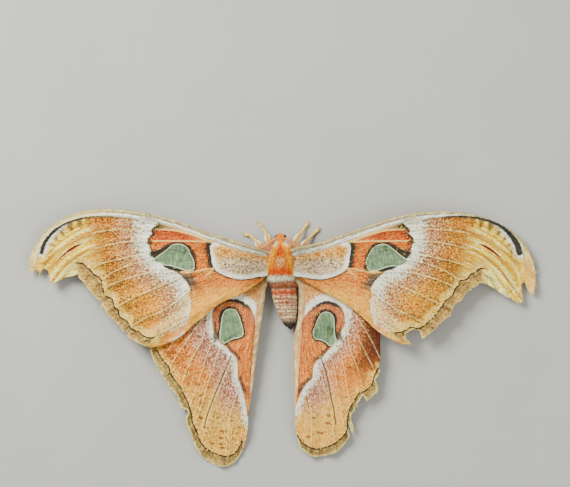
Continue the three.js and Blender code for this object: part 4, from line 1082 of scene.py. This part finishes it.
SCALE_RISE = 0.14
ROOT_HAIRS = 9.0
ROOT_HAIR_LENGTH = 1.7
SCALE_SHAPE = (0.5, 0.08, 0.1, 0.3)  # width, thickness, bend and disorder, for a length of one
HAIR_SHAPE = (0.13, 0.09, 0.1, 0.45)
INNER_HAIR = 0.6
WINDOW_SCALES = 0.03  # share of the scales that a clear window keeps
FLOW_FROM = {"forewing": (-5.0, -2.0), "hindwing": (2.0, 4.0)}  # the scales of a wing point away from here
THIN_LINES = ("submargin", "basal", "distal", "ring", "dash", "ink", "darkvein", "vein")
WINGS = {
    "forewing_left": (FOREWING_LEFT_OUTLINE, fore_height, forewing_fields, FORE_ROOT),
    "forewing_right": (FOREWING_RIGHT_OUTLINE, fore_height, forewing_fields, FORE_ROOT),
    "hindwing_left": (HINDWING_LEFT_OUTLINE, hind_height, hindwing_fields, HIND_ROOT),
    "hindwing_right": (HINDWING_RIGHT_OUTLINE, hind_height, hindwing_fields, HIND_ROOT),
}


def make_wing(name, material, sizes):
    """A wing as a thin closed shell with pleats and raised veins."""
    stretches, height, measure, root = WINGS[name]
    side_name = name.split("_")[1]
    side = SIDES[side_name]
    step = sizes.wing_step / MM
    outline = trace_outline(stretches, side, step)
    flat, faces = fill_outline(outline, step)
    fields = measure(flat, outline, side_name)
    rise = sizes.vein_rise / MM
    ridge = rise * np.exp(-(fields["vein"] / VEIN_HALF_WIDTH) ** 2) * smooth(fields["hem"], 0, 1.2)
    folds = FOLD_HEIGHT * np.sin(fields["bearing"] * FOLDS) * smooth(fields["radius"], 20, 90)
    pleat = folds - PLEAT_DEPTH * smooth(fields["vein"], 0, 5)
    waves = np.sin(flat[:, 0] * 0.9 + 1.3 * np.sin(flat[:, 1] * 0.7))
    ripple = HEM_RIPPLE * waves * (1 - smooth(fields["hem"], 0, 5))
    lead = 0.0 if "edge" not in fields else LEAD_RISE * np.exp(-(fields["edge"] / LEAD_HALF_WIDTH) ** 2)
    middle = height(flat) + (pleat + ripple) * smooth(fields["radius"], 6, 24)
    middle = np.maximum(middle, FLOOR_CLEARANCE)
    near = np.linalg.norm(flat - np.array(root), axis=1)
    half = sizes.wing_thickness / MM / 2
    half = ROOT_HALF_THICKNESS + (half - ROOT_HALF_THICKNESS) * smooth(near, 0, ROOT_REACH)
    x = flat[:, 0] * side
    over = np.column_stack([x, flat[:, 1], middle + half + ridge + lead])
    under = np.column_stack([x, flat[:, 1], middle - half - ridge * 0.6 - lead * 0.3])
    count = len(flat)
    corners = flat[faces]
    turn = np.cross(corners[:, 1] - corners[:, 0], corners[:, 2] - corners[:, 0])
    faces[turn * side < 0] = faces[turn * side < 0][:, ::-1]
    directed = np.vstack([faces[:, [0, 1]], faces[:, [1, 2]], faces[:, [2, 0]]])
    keys = directed[:, 0] * count + directed[:, 1]
    opposite = directed[:, 1] * count + directed[:, 0]
    border = directed[~np.isin(keys, opposite)]
    walls = [(b, a, a + count, b + count) for a, b in border]
    wing = make_mesh(name + "_wing", np.vstack([over, under]),
                     faces.tolist() + (faces[:, ::-1] + count).tolist() + walls, material)
    for key, values in fields.items():
        store(wing, key, np.tile(values, 2))
    store(wing, "top", np.repeat([1.0, 0.0], count))
    store(wing, "tint", np.full(2 * count, 0.5))
    source = FLOW_FROM[name.split("_")[0]]
    lie = np.column_stack([(flat[:, 0] - source[0]) * side, flat[:, 1] - source[1], np.zeros(count)])
    lie /= np.maximum(np.linalg.norm(lie, axis=1), 1e-6)[:, None]
    store(wing, "lie", np.tile(lie + (0, 0, SCALE_RISE), (2, 1)))
    store(wing, "out", np.tile([0.0, 0.0, 1.0], (2 * count, 1)))
    store(wing, "length", np.ones(2 * count))
    store(wing, "near", np.tile(near, 2))
    lay_out_wing(wing, flat, count)
    settle(wing, name.split("_")[0] + "_scales", name)
    return wing


def lay_out_wing(wing, flat, count):
    """Unwraps the top into the upper half of the map and the underside into the lower half."""
    low, span = flat.min(0), np.ptp(flat, axis=0)
    spot = (flat - low) / span * (0.98, 0.48) + (0.01, 0.01)
    spots = np.vstack([spot + (0, 0.5), spot])
    loops = np.zeros(len(wing.data.loops), np.int32)
    wing.data.loops.foreach_get("vertex_index", loops)
    layer = wing.data.uv_layers.new(name="OFBake")
    layer.data.foreach_set("uv", spots[loops].astype(np.float32).ravel())


def scale_wing(wing, material, sizes):
    """Strews flat scales over the top of a wing, thinly over its window, and sets hair at its root."""
    def read(name):
        return kept(wing, name)

    kind, side = wing.name.split("_")[:2]
    seed, slot, node = sizes.seed + len(side), kind + "_scales", kind + "_" + side
    top, hem, near = read("top"), read("hem"), read("near")
    clear = WINDOW_SCALES + (1 - WINDOW_SCALES) * smooth(read("window"), 0.2, 1.2)
    where = top * clear * smooth(hem, 0.3, 0.9) * smooth(near, 3, 9)
    for line in THIN_LINES:
        if line in wing.data.attributes:
            where = where * smooth(np.abs(read(line)), 0.35, 0.9)
    grow_coat(node + "_coat", wing, where, sizes.scale_density, sizes.scale_length / MM, *SCALE_SHAPE,
              material, seed, slot, [node], True)
    hairy = 1 - smooth(near, 5, ROOT_REACH + 4)
    if kind == "hindwing":
        fringe = (1 - smooth(read("inner"), 1.2, 3.2)) * (1 - smooth(read("back"), 30, 56))
        hairy = np.maximum(hairy, INNER_HAIR * fringe)
    grow_coat(node + "_hair", wing, top * hairy * smooth(hem, 0.1, 0.5), ROOT_HAIRS, ROOT_HAIR_LENGTH,
              *HAIR_SHAPE, material, seed, slot, [node])


class MOTH_OT_wings(bpy.types.Operator):
    """Builds the two forewings and the two hindwings"""

    bl_idname = "moth.wings"
    bl_label = "Wings"

    def execute(self, context):
        sizes = context.scene.moth_sizes
        fore = forewing_material(sizes)
        hind = hindwing_material(sizes)
        for name in WINGS:
            material = fore if name.startswith("fore") else hind
            scale_wing(make_wing(name, material, sizes), material, sizes)
        return {"FINISHED"}


# Body, coat, antennae and eyes

RING_SPACING = 1.6
FUR_TRAIL = 0.9  # how far behind its root a tuft shows
FUR_RISES = np.array([0.32, 0.2, 0.2, 0.25, 0.15])  # of thorax, abdomen, head, legs and the white band
FUR_LENGTHS = np.array([1.0, 0.62, 0.3, 0.26, 0.25])  # in the same order, as shares of the fur length
STRIPE_RIDGE = 0.3
TARSUS_TRIM = 0.45
SOLE = (0.45, 0.8)  # the fur of the legs fades out between these heights over the floor
CUFF_TURNS = 2 * math.pi * 14
HEAD_AND_THORAX = [  # y, half width, underside, top; all just inside the CAD's nodes
    (13.7, 0.25, 7.7, 8.3), (13.3, 1.0, 7.0, 9.1), (12.4, 1.6, 6.4, 9.7), (11, 1.95, 6.0, 9.9),
    (9.8, 2.1, 5.8, 9.9), (8.8, 2.7, 5.3, 10.3), (7.6, 3.9, 4.6, 11.2), (5.8, 5.1, 3.8, 12.2),
    (3.4, 6.1, 3.3, 12.8), (0.2, 6.7, 3.1, 13.2), (-3.4, 6.9, 3.1, 13.2), (-6.6, 6.5, 3.2, 12.5),
    (-9.4, 5.7, 3.2, 11.6),
]
ABDOMEN_FRONT, ABDOMEN_BACK = -11.6, -31.2
ABDOMEN_WIDTHS = ((0.0, 5.8), (0.3, 5.35), (0.55, 4.6), (0.8, 3.5), (0.93, 2.4), (1.0, 0.7))
ABDOMEN_FLATNESS = 0.84
BODY_BEND = ((-8.0, 0.0), (-11.0, 1.35), (-18.0, 2.1), (-22.8, 3.1), (-27.5, 3.8), (-31.3, 4.6))
STRIPE_LINE = np.array([(1.2, 9.2), (3.6, 3.6), (6.5, -4.6)])
LEG_ROUTES = {
    "foreleg_left": [(3.2, 4.8, 5), (4.9, 7.2, 5.8), (5.5, 9.0, 5.2), (6.9, 13.7, 2.1), (8.5, 16.2, 0.95),
                     (10.1, 18.3, 0.8)],
    "foreleg_right": [(3.2, 4.8, 5), (5.4, 7.2, 5.8), (6.6, 9.2, 5.2), (10.2, 14.3, 2.1), (11.7, 16.5, 0.95),
                      (13.0, 18.5, 0.8)],
    "midleg_left": [(4.2, 1.6, 4.8), (7.8, 5.2, 5.6), (10, 7.6, 5.2), (12.4, 10.6, 2.1), (14.8, 12.6, 0.85),
                    (17.2, 13, 0.6)],
    "midleg_right": [(4.2, 1.6, 4.8), (7.8, 5, 5.6), (10.4, 7.6, 5.2), (13.5, 10.9, 2.1), (15.9, 13.3, 0.85),
                     (18.2, 15.6, 0.6)],
    "hindleg_left": [(4.4, -3.2, 4.4), (8.2, -7, 4.6), (10.2, -10.6, 4.2), (11.8, -19, 1.9),
                     (12.6, -24.4, 0.85), (13.2, -28.4, 0.6)],
    "hindleg_right": [(4.4, -3.2, 4.4), (8.4, -7, 4.6), (10.5, -10.6, 4.2), (12.1, -19, 1.9),
                      (12.9, -24.4, 0.85), (13.5, -28.4, 0.6)],
}
LEG_RADII = [(0.0, 1.1), (0.2, 1.0), (0.29, 0.75), (0.34, 0.9), (0.42, 1.4), (0.5, 1.5), (0.58, 1.15),
             (0.65, 0.62), (0.67, 0.78), (0.73, 0.56), (0.75, 0.74), (0.81, 0.52), (0.83, 0.7), (0.88, 0.5),
             (0.91, 0.7), (0.95, 0.86), (1.0, 0.5)]
BODY_SIDES = 56
LEG_RINGS, LEG_SIDES, LEG_FLATNESS = 60, 14, 0.8
NECK = (8.0, 8.8)  # where thorax turns into head, in y
WAIST = (-10.4, -9.6)
WHITE_BAND = (6.2, 7.2)  # where the thorax's white band starts, counted back
CLAW_LENGTH = 1.2
CLAW_RADIUS = 0.2
CLAW_ARCH = 0.25
CLAW_TIP = 0.12
EYE_PLACE = (1.75, 11.9, 7.5)
EYE_RADIUS = 1.2
ANTENNA_ROUTE = [(1.2, 11.2, 9.2), (2.9, 10.9, 9.0), (5, 9.2, 8.5), (9, 6.6, 8.4), (14.5, 4.2, 8.5),
                 (19.8, 2.9, 8.7)]
ANTENNA_RAMI = 30
RAMUS_LENGTH = 2.5
RAMUS_RADII = [0.1, 0.08, 0.04]
STEM_RADII = [0.45, 0.42, 0.38, 0.34, 0.28, 0.16]
ANTENNA_LOW = 7.9


def mirrored(route, side):
    return [(x * side, y, z) for x, y, z in route]


def body_rings(sides):
    """Rings from the tip of the head to the tip of the abdomen."""
    profile = list(HEAD_AND_THORAX)
    for share in np.linspace(0, 1, 26):
        half = np.interp(share, *zip(*ABDOMEN_WIDTHS))
        half *= 1 + 0.02 * math.cos(2 * math.pi * share * 8)
        low = 1.3 + 1.3 * (1 - share) + (6.3 - half) * 0.35
        profile.append((ABDOMEN_FRONT + (ABDOMEN_BACK - ABDOMEN_FRONT) * share, half, low,
                        low + 2 * half * ABDOMEN_FLATNESS))
    rings = []
    turn = np.linspace(0, 2 * math.pi, sides, endpoint=False)
    for y, half, low, high in curve_through(profile, 0.35):
        x = np.interp(-y, [-place for place, _ in BODY_BEND], [bend for _, bend in BODY_BEND])
        rings.append(np.column_stack([x + half * np.cos(turn), np.full(sides, y),
                                      (low + high) / 2 + (high - low) / 2 * np.sin(turn)]))
    return rings


def add_solid(name, points, faces):
    """A bare closed mesh to be joined with others."""
    mesh = bpy.data.meshes.new(name)
    mesh.from_pydata(np.asarray(points).tolist(), [], faces)
    solid = bpy.data.objects.new(name, mesh)
    bpy.context.scene.collection.objects.link(solid)
    return solid


def united(solids):
    """Points and faces of the one closed surface round several closed meshes that cross each other."""
    first = solids[0]
    for other in solids[1:]:
        joint = first.modifiers.new("join", "BOOLEAN")
        joint.operation = "UNION"
        joint.solver = "EXACT"
        joint.object = other
    shape = first.evaluated_get(bpy.context.evaluated_depsgraph_get()).to_mesh()
    points = np.array([tuple(vertex.co) for vertex in shape.vertices])
    faces = [tuple(face.vertices) for face in shape.polygons]
    for solid in solids:
        bpy.data.objects.remove(solid)
    return points, faces


def unwrap(piece):
    """Lays the surface out flat in patches of its own shape."""
    piece.data.uv_layers.new(name="OFBake")
    bpy.context.view_layer.objects.active = piece
    piece.select_set(True)
    bpy.ops.object.mode_set(mode="EDIT")
    bpy.ops.mesh.select_all(action="SELECT")
    bpy.ops.uv.smart_project(angle_limit=math.radians(66), island_margin=0.003)
    bpy.ops.object.mode_set(mode="OBJECT")
    piece.select_set(False)


def make_skin(sizes):
    """The one skin of head, thorax, abdomen and legs, with what its colours and fur need to know."""
    points, faces = loft(body_rings(BODY_SIDES))
    solids = [add_solid("trunk", points, faces)]
    lines = []
    for name, route in LEG_ROUTES.items():
        side = SIDES[name.split("_")[1]]
        rings, centres, ahead, _ = tube(mirrored(route, side), LEG_RADII, LEG_RINGS, LEG_SIDES, LEG_FLATNESS)
        leg_points, leg_faces = loft(rings)
        solids.append(add_solid(name, leg_points, leg_faces))
        radius = np.interp(np.linspace(0, 1, LEG_RINGS), *zip(*LEG_RADII))
        lines.append((centres, ahead, radius))
    points, faces = united(solids)
    skin = make_mesh("moth_skin", points, faces, body_material("body_skin", sizes))
    normals = np.zeros(len(points) * 3, np.float32)
    skin.data.vertices.foreach_get("normal", normals)
    normals = normals.reshape(-1, 3)

    middle = np.interp(-points[:, 1], [-place for place, _ in BODY_BEND], [bend for _, bend in BODY_BEND])
    down, side = points[:, 1], np.abs(points[:, 0] - middle)
    stripe, _ = distance_along(np.column_stack([side, down]), STRIPE_LINE)
    stripe = np.where(points[:, 2] > 6.5, stripe, 9.0)
    leg = np.zeros(len(points))
    along = np.zeros(len(points))
    rim = np.zeros(len(points))
    lie = np.tile([0.0, -1.0, 0.0], (len(points), 1))
    lie[down < -26, 2] = -0.15
    lie[:, 0] = np.sign(points[:, 0] - middle) * 0.75 * smooth(side, 3.5, 7) * smooth(down, -10, -8)
    for centres, ahead, radius in lines:
        gap, place = distance_along(points, centres)
        index = np.clip(np.round(place).astype(int), 0, len(centres) - 1)
        on = gap < radius[index] * 1.04
        leg[on] = 1
        along[on] = place[on] / (len(centres) - 1)
        lie[on] = ahead[index[on]]
        away = points[on] - centres[index[on]]
        rim[on] = np.linalg.norm(away[:, :2], axis=1) / radius[index[on]] * (radius[index[on]] > 0.8)
    across = np.einsum("ij,ij->i", lie, normals)
    lie = lie - across[:, None] * normals
    lie /= np.maximum(np.linalg.norm(lie, axis=1), 1e-6)[:, None]
    head = smooth(down, *NECK) * (1 - leg)
    abdomen = (1 - smooth(down, *WAIST)) * (1 - leg)
    thorax = (1 - leg) * (1 - head) * (1 - abdomen)
    band = smooth(-down, *WHITE_BAND) * thorax
    parts = np.array([thorax, abdomen, head, leg, band])
    rise = FUR_RISES @ parts
    ridge = STRIPE_RIDGE * (1 - smooth(stripe, 0.8, 1.6)) * thorax
    length = (FUR_LENGTHS @ parts + ridge) * (1 - TARSUS_TRIM * smooth(along, 0.6, 0.75))
    for name, values in {
        "down": down, "side": side, "stripe": stripe, "leg": leg, "along": along, "rim": rim,
        "lie": lie + normals * rise[:, None], "out": normals, "length": length,
        "tint": np.full(len(points), 0.5), "thorax": thorax * (1 + band), "abdomen": abdomen,
        "head": head, "limb": leg * smooth(points[:, 2], *SOLE),
    }.items():
        store(skin, name, values)
    unwrap(skin)
    settle(skin, "thorax_fur", "head", "thorax", "abdomen", *LEG_ROUTES)
    return skin


TUFT_PATCH = 0.003  # size of a tuft on the unwrapped surface
SHORTEST_TUFT, LONGEST_TUFT = 0.65, 1.25


class CoatNodes:
    """The nodes that set tufts over a surface and make them one mesh."""

    def __init__(self, name, inputs):
        self.tree = bpy.data.node_groups.new(name, "GeometryNodeTree")
        for label, (kind, _) in inputs.items():
            self.tree.interface.new_socket(label, in_out="INPUT", socket_type=kind)
        self.tree.interface.new_socket("Geometry", in_out="OUTPUT", socket_type="NodeSocketGeometry")
        self.given = self.tree.nodes.new("NodeGroupInput").outputs

    def add(self, kind, settings=None, sockets=None):
        node = self.tree.nodes.new(kind)
        for key, value in (settings or {}).items():
            setattr(node, key, value)
        for key, value in (sockets or {}).items():
            if isinstance(value, bpy.types.NodeSocket):
                self.tree.links.new(value, node.inputs[key])
            else:
                node.inputs[key].default_value = value
        return node

    def named(self, name, kind):
        node = self.add("GeometryNodeInputNamedAttribute", {"data_type": kind}, {"Name": name})
        return node.outputs["Attribute"]

    def maths(self, operation, a, b):
        return self.add("ShaderNodeMath", {"operation": operation}, {0: a, 1: b}).outputs[0]

    def vectors(self, operation, a, b):
        return self.add("ShaderNodeVectorMath", {"operation": operation}, {0: a, 1: b}).outputs[0]

    def scaled(self, vector, factor):
        node = self.add("ShaderNodeVectorMath", {"operation": "SCALE"}, {0: vector, "Scale": factor})
        return node.outputs[0]

    def random(self, kind, low, high, seed):
        """A random number or direction for each tuft."""
        sockets = {0: low, 1: high} if kind == "FLOAT_VECTOR" else {2: low, 3: high}
        node = self.add("FunctionNodeRandomValue", {"data_type": kind}, {**sockets, "Seed": seed})
        return node.outputs[0 if kind == "FLOAT_VECTOR" else 1]

    def keep(self, geometry, name, kind, domain, value):
        node = self.add("GeometryNodeStoreNamedAttribute", {"data_type": kind, "domain": domain},
                        {"Geometry": geometry, "Name": name, "Value": value})
        return node.outputs["Geometry"]


def coat_nodes(name, inputs, plate):
    """Tufts that taper to a point, or plates that are broad at the end."""
    nodes = CoatNodes(name, inputs)
    given = nodes.given
    if plate:
        shape = nodes.add("GeometryNodeMeshCube", None, {"Size": (1.0, 1.0, 1.0)}).outputs["Mesh"]
        base = (0.0, 0.0, 0.5)
    else:
        shape = nodes.add("GeometryNodeMeshCone", {"fill_type": "NGON"}, {
            "Vertices": 3, "Side Segments": 3, "Radius Top": 0.0, "Radius Bottom": 0.5, "Depth": 1.0,
        }).outputs["Mesh"]
        base = (0.0, 0.0, 0.0)
    place = nodes.add("GeometryNodeInputPosition").outputs[0]
    place = nodes.vectors("ADD", place, base)
    shape = nodes.add("GeometryNodeSetPosition", None, {"Geometry": shape, "Position": place}).outputs[0]
    place = nodes.add("GeometryNodeInputPosition").outputs[0]
    shape = nodes.keep(shape, "local", "FLOAT_VECTOR", "POINT", place)
    x, y, z = nodes.add("ShaderNodeSeparateXYZ", None, {0: place}).outputs
    waist = nodes.maths("ADD", nodes.maths("MULTIPLY", z, 0.6 if plate else 0.0), 0.5 if plate else 1.0)
    wide = nodes.maths("MULTIPLY", nodes.maths("MULTIPLY", x, waist), given["Width"])
    sag = nodes.maths("MULTIPLY", nodes.maths("MULTIPLY", z, z), given["Bend"])
    thick = nodes.maths("SUBTRACT", nodes.maths("MULTIPLY", y, given["Thickness"]), sag)
    bent = nodes.add("ShaderNodeCombineXYZ", None, {0: wide, 1: thick, 2: z}).outputs[0]
    shape = nodes.add("GeometryNodeSetPosition", None, {"Geometry": shape, "Position": bent}).outputs[0]

    density = nodes.maths("MULTIPLY", nodes.named("where", "FLOAT"), given["Density"])
    scatter = nodes.add("GeometryNodeDistributePointsOnFaces", {"distribute_method": "RANDOM"}, {
        "Mesh": given["Geometry"], "Density": density, "Seed": given["Seed"]})
    roots = scatter.outputs["Points"]
    roots = nodes.keep(roots, "root_spot", "FLOAT_VECTOR", "POINT", nodes.named("OFBake", "FLOAT_VECTOR"))
    roots = nodes.keep(roots, "tint", "FLOAT", "POINT", nodes.random("FLOAT", 0.0, 1.0, 3))
    stray = nodes.random("FLOAT_VECTOR", (-0.5, -0.5, -0.5), (0.5, 0.5, 0.5), 5)
    lie = nodes.vectors("ADD", nodes.named("lie", "FLOAT_VECTOR"), nodes.scaled(stray, given["Disorder"]))
    turn = nodes.add("FunctionNodeAlignRotationToVector", {"axis": "Z"}, {"Vector": lie}).outputs[0]
    turn = nodes.add("FunctionNodeAlignRotationToVector", {"axis": "Y", "pivot_axis": "Z"}, {
        "Rotation": turn, "Vector": nodes.named("out", "FLOAT_VECTOR")}).outputs[0]
    length = nodes.maths("MULTIPLY", nodes.random("FLOAT", SHORTEST_TUFT, LONGEST_TUFT, 9), given["Length"])
    length = nodes.maths("MULTIPLY", nodes.named("length", "FLOAT"), length)
    size = nodes.add("ShaderNodeCombineXYZ", None, {0: length, 1: length, 2: length}).outputs[0]
    tufts = nodes.add("GeometryNodeInstanceOnPoints", None, {
        "Points": roots, "Instance": shape, "Rotation": turn, "Scale": size}).outputs[0]
    coat = nodes.add("GeometryNodeRealizeInstances", None, {"Geometry": tufts}).outputs[0]
    patch = nodes.add("ShaderNodeSeparateXYZ", None, {0: nodes.named("local", "FLOAT_VECTOR")}).outputs
    flat = nodes.add("ShaderNodeCombineXYZ", None, {0: patch[0], 1: patch[2]}).outputs[0]
    spot = nodes.vectors("ADD", nodes.named("root_spot", "FLOAT_VECTOR"), nodes.scaled(flat, TUFT_PATCH))
    coat = nodes.keep(coat, "OFBake", "FLOAT2", "CORNER", spot)
    coat = nodes.add("GeometryNodeSetMaterial", None, {
        "Geometry": coat, "Material": given["Material"]}).outputs[0]
    result = nodes.tree.nodes.new("NodeGroupOutput")
    nodes.tree.links.new(coat, result.inputs[0])
    return nodes.tree


def grow_coat(name, skin, where, density, length, width, thickness, bend, disorder, material, seed, slot,
              replaced, plate=False):
    """Covers part of a skin with tufts or plates as one solid mesh."""
    inputs = {
        "Geometry": ("NodeSocketGeometry", None), "Density": ("NodeSocketFloat", density / MM / MM),
        "Length": ("NodeSocketFloat", length * MM), "Width": ("NodeSocketFloat", width),
        "Thickness": ("NodeSocketFloat", thickness), "Bend": ("NodeSocketFloat", bend),
        "Disorder": ("NodeSocketFloat", disorder), "Seed": ("NodeSocketInt", seed),
        "Material": ("NodeSocketMaterial", material),
    }
    store(skin, "where", where)
    tree = coat_nodes(name, inputs, plate)
    holder = bpy.data.objects.new(name + "_holder", skin.data)
    bpy.context.scene.collection.objects.link(holder)
    modifier = holder.modifiers.new("coat", "NODES")
    modifier.node_group = tree
    for item in tree.interface.items_tree:
        if item.in_out == "INPUT" and inputs[item.name][1] is not None:
            modifier[item.identifier] = inputs[item.name][1]
    mesh = bpy.data.meshes.new_from_object(holder.evaluated_get(bpy.context.evaluated_depsgraph_get()))
    bpy.data.objects.remove(holder)
    skin.data.attributes.remove(skin.data.attributes["where"])
    if len(mesh.vertices) == 0:
        raise RuntimeError(name + " has no tufts")
    mesh.name = name
    coat = bpy.data.objects.new(name, mesh)
    bpy.context.scene.collection.objects.link(coat)
    mesh.polygons.foreach_set("use_smooth", [not plate] * len(mesh.polygons))
    settle(coat, slot, *replaced)
    return coat


TUFT_FLATNESS, TUFT_BEND, TUFT_DISORDER = 0.7, 0.16, 0.5
COATS = (  # piece, where it grows, tufts to a square millimetre, width over length, slot and nodes
    ("thorax_coat", "thorax", 15.0, 0.24, "thorax_fur", ["thorax"]),
    ("abdomen_coat", "abdomen", 15.0, 0.28, "abdomen_fur", ["abdomen"]),
    ("head_coat", "head", 60.0, 0.28, "head_fur", ["head"]),
    ("leg_coat", "limb", 15.0, 0.3, "leg_fur", list(LEG_ROUTES)),
)


class MOTH_OT_body(bpy.types.Operator):
    """Builds the skin of the body and legs with its fur"""

    bl_idname = "moth.body"
    bl_label = "Body and fur"

    def execute(self, context):
        sizes = context.scene.moth_sizes
        skin = make_skin(sizes)
        fur = body_material("body_fur", sizes)
        length = sizes.fur_length / MM
        for name, weight, density, width, slot, replaced in COATS:
            grow_coat(name, skin, kept(skin, weight), density, length, width, width * TUFT_FLATNESS,
                      TUFT_BEND, TUFT_DISORDER, fur, sizes.seed, slot, replaced)
        return {"FINISHED"}


class MOTH_OT_feelers(bpy.types.Operator):
    """Builds the eyes, claws and feathered antennae"""

    bl_idname = "moth.feelers"
    bl_label = "Eyes, claws and antennae"

    def execute(self, context):
        gloss = eye_material()
        chitin = antenna_material()
        for side_name, side in SIDES.items():
            bpy.ops.mesh.primitive_uv_sphere_add(segments=48, ring_count=32, radius=EYE_RADIUS)
            ball = context.object
            points = np.array([tuple(vertex.co) for vertex in ball.data.vertices])
            faces = [tuple(face.vertices) for face in ball.data.polygons]
            bpy.data.objects.remove(ball)
            points = points + np.array(mirrored([EYE_PLACE], side)[0])
            eye = make_mesh("eye_" + side_name + "_ball", points, faces, gloss)
            settle(eye, "eye", "eye_" + side_name)
            make_antenna(side_name, side, chitin)
        make_claws(chitin)
        return {"FINISHED"}


def join_parts(parts):
    """Points and faces of several meshes as one list."""
    points, faces, count = [], [], 0
    for part_points, part_faces in parts:
        points.append(part_points)
        faces.extend(tuple(i + count for i in face) for face in part_faces)
        count += len(part_points)
    return np.vstack(points), faces


def make_antenna(side_name, side, material):
    """A feathered antenna: a jointed stem with two rows of rami on each side."""
    route = mirrored(ANTENNA_ROUTE, side)
    rings, centres, ahead, over = tube(route, STEM_RADII, 90, 10)
    parts = [loft(rings)]
    across = np.cross(ahead, over)
    for i in range(ANTENNA_RAMI):
        share = 0.1 + 0.88 * i / (ANTENNA_RAMI - 1)
        at = int(share * (len(centres) - 1))
        reach = RAMUS_LENGTH * math.sin(math.pi * (0.18 + 0.78 * share)) ** 0.6
        for hand in (-1, 1):
            for lift in (0.12, -0.1):
                start = centres[at] + ahead[at] * lift
                out = across[at] * hand * reach
                bend = start + out * 0.5 + ahead[at] * reach * 0.22 + over[at] * lift * 2
                end = start + out * 0.88 + ahead[at] * reach * 0.6 + over[at] * lift
                twig, _, _, _ = tube([start, bend, end], RAMUS_RADII, 7, 5)
                parts.append(loft(twig))
    points, faces = join_parts(parts)
    points[:, 2] = np.maximum(points[:, 2], ANTENNA_LOW)
    antenna = make_mesh("antenna_" + side_name + "_plume", points, faces, material)
    settle(antenna, "antenna", "antenna_" + side_name)


def make_claws(material):
    """Two small curved claws at the end of each leg."""
    parts = []
    for name, route in LEG_ROUTES.items():
        side = SIDES[name.split("_")[1]]
        end, before = np.array(mirrored(route, side))[[-1, -2]]
        ahead = (end - before) / np.linalg.norm(end - before)
        across = np.cross(ahead, [0, 0, 1])
        for hand in (-1, 1):
            out = across * hand * CLAW_LENGTH
            bend = end + ahead * CLAW_LENGTH * 0.55 + out * 0.45 + (0, 0, CLAW_ARCH)
            tip = end + ahead * CLAW_LENGTH * 0.95 + out * 0.5
            tip[2] = CLAW_TIP
            hook, _, _, _ = tube([end - ahead * 0.2, bend, tip], [CLAW_RADIUS, CLAW_RADIUS * 0.8, 0.05], 9, 8)
            parts.append(loft(hook))
    points, faces = join_parts(parts)
    claws = make_mesh("claws", points, faces, material)
    settle(claws, "leg_fur", *LEG_ROUTES)


# Stage

CAMERA_DISTANCE = 1600.0
SENSOR = 36.0
WING_LEVEL = 9.0
FLOOR_SIZE = 6.0
SKY_TINT, SKY_STRENGTH = (1.0, 0.99, 0.975, 1.0), 0.68
LAMPS = (  # place and size in metres, power in watts
    ("key", (-0.5, 0.55, 0.62), 0.45, 20.0),
    ("fill", (0.7, -0.3, 0.7), 0.8, 6.0),
)


class MOTH_OT_stage(bpy.types.Operator):
    """Sets up the camera, the floor and the lights"""

    bl_idname = "moth.stage"
    bl_label = "Stage"

    def execute(self, context):
        scene = context.scene
        aim = np.array([
            (PHOTO_MIDDLE[0] - PHOTO_ORIGIN[0]) * PHOTO_SCALE,
            (PHOTO_ORIGIN[1] - PHOTO_MIDDLE[1]) * PHOTO_SCALE,
            WING_LEVEL + CAMERA_DISTANCE,
        ]) + SHIFT
        camera = bpy.data.cameras.new("camera")
        camera.sensor_width = SENSOR
        camera.lens = SENSOR * CAMERA_DISTANCE / (PHOTO_WIDTH * PHOTO_SCALE)
        camera.clip_end = 20
        holder = bpy.data.objects.new("camera", camera)
        holder.location = aim * MM
        scene.collection.objects.link(holder)
        scene.camera = holder

        paint = Paint("floor_paper")
        grain = paint.noise(paint.place, 0.02, 3.0)
        tone = paint.mix((196, 196, 192), (202, 202, 198), grain)
        bpy.ops.mesh.primitive_plane_add(size=FLOOR_SIZE)
        floor = context.object
        floor.name = "floor"
        floor.data.materials.append(paint.finish(tone, 0.85))

        world = bpy.data.worlds.new("studio")
        scene.world = world
        world.use_nodes = True
        sky = world.node_tree.nodes["Background"].inputs
        sky["Color"].default_value = SKY_TINT
        sky["Strength"].default_value = SKY_STRENGTH
        for name, place, size, power in LAMPS:
            lamp = bpy.data.lights.new(name, "AREA")
            lamp.size = size
            lamp.energy = power
            light = bpy.data.objects.new(name, lamp)
            light.location = place
            light.rotation_euler = (-Vector(place)).to_track_quat("-Z", "Y").to_euler()
            scene.collection.objects.link(light)
        return {"FINISHED"}


class MOTH_PT_panel(bpy.types.Panel):
    """Lists the sizes and the steps of the moth"""

    bl_idname = "MOTH_PT_panel"
    bl_label = "Atlas moth"
    bl_space_type = "VIEW_3D"
    bl_region_type = "UI"
    bl_category = "Atlas moth"

    def draw(self, context):
        for name in MothSizes.__annotations__:
            self.layout.prop(context.scene.moth_sizes, name)
        for step in STEPS:
            self.layout.operator(step.bl_idname)


STEPS = (MOTH_OT_stage, MOTH_OT_wings, MOTH_OT_body, MOTH_OT_feelers)
CLASSES = (MothSizes,) + STEPS + (MOTH_PT_panel,)


def register():
    for cls in CLASSES:
        bpy.utils.register_class(cls)
    bpy.types.Scene.moth_sizes = bpy.props.PointerProperty(type=MothSizes)


def unregister():
    del bpy.types.Scene.moth_sizes
    for cls in reversed(CLASSES):
        bpy.utils.unregister_class(cls)


def main():
    register()
    bpy.ops.moth.stage()
    bpy.ops.moth.wings()
    bpy.ops.moth.body()
    bpy.ops.moth.feelers()
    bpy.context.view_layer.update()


if __name__ == "__main__":
    main()
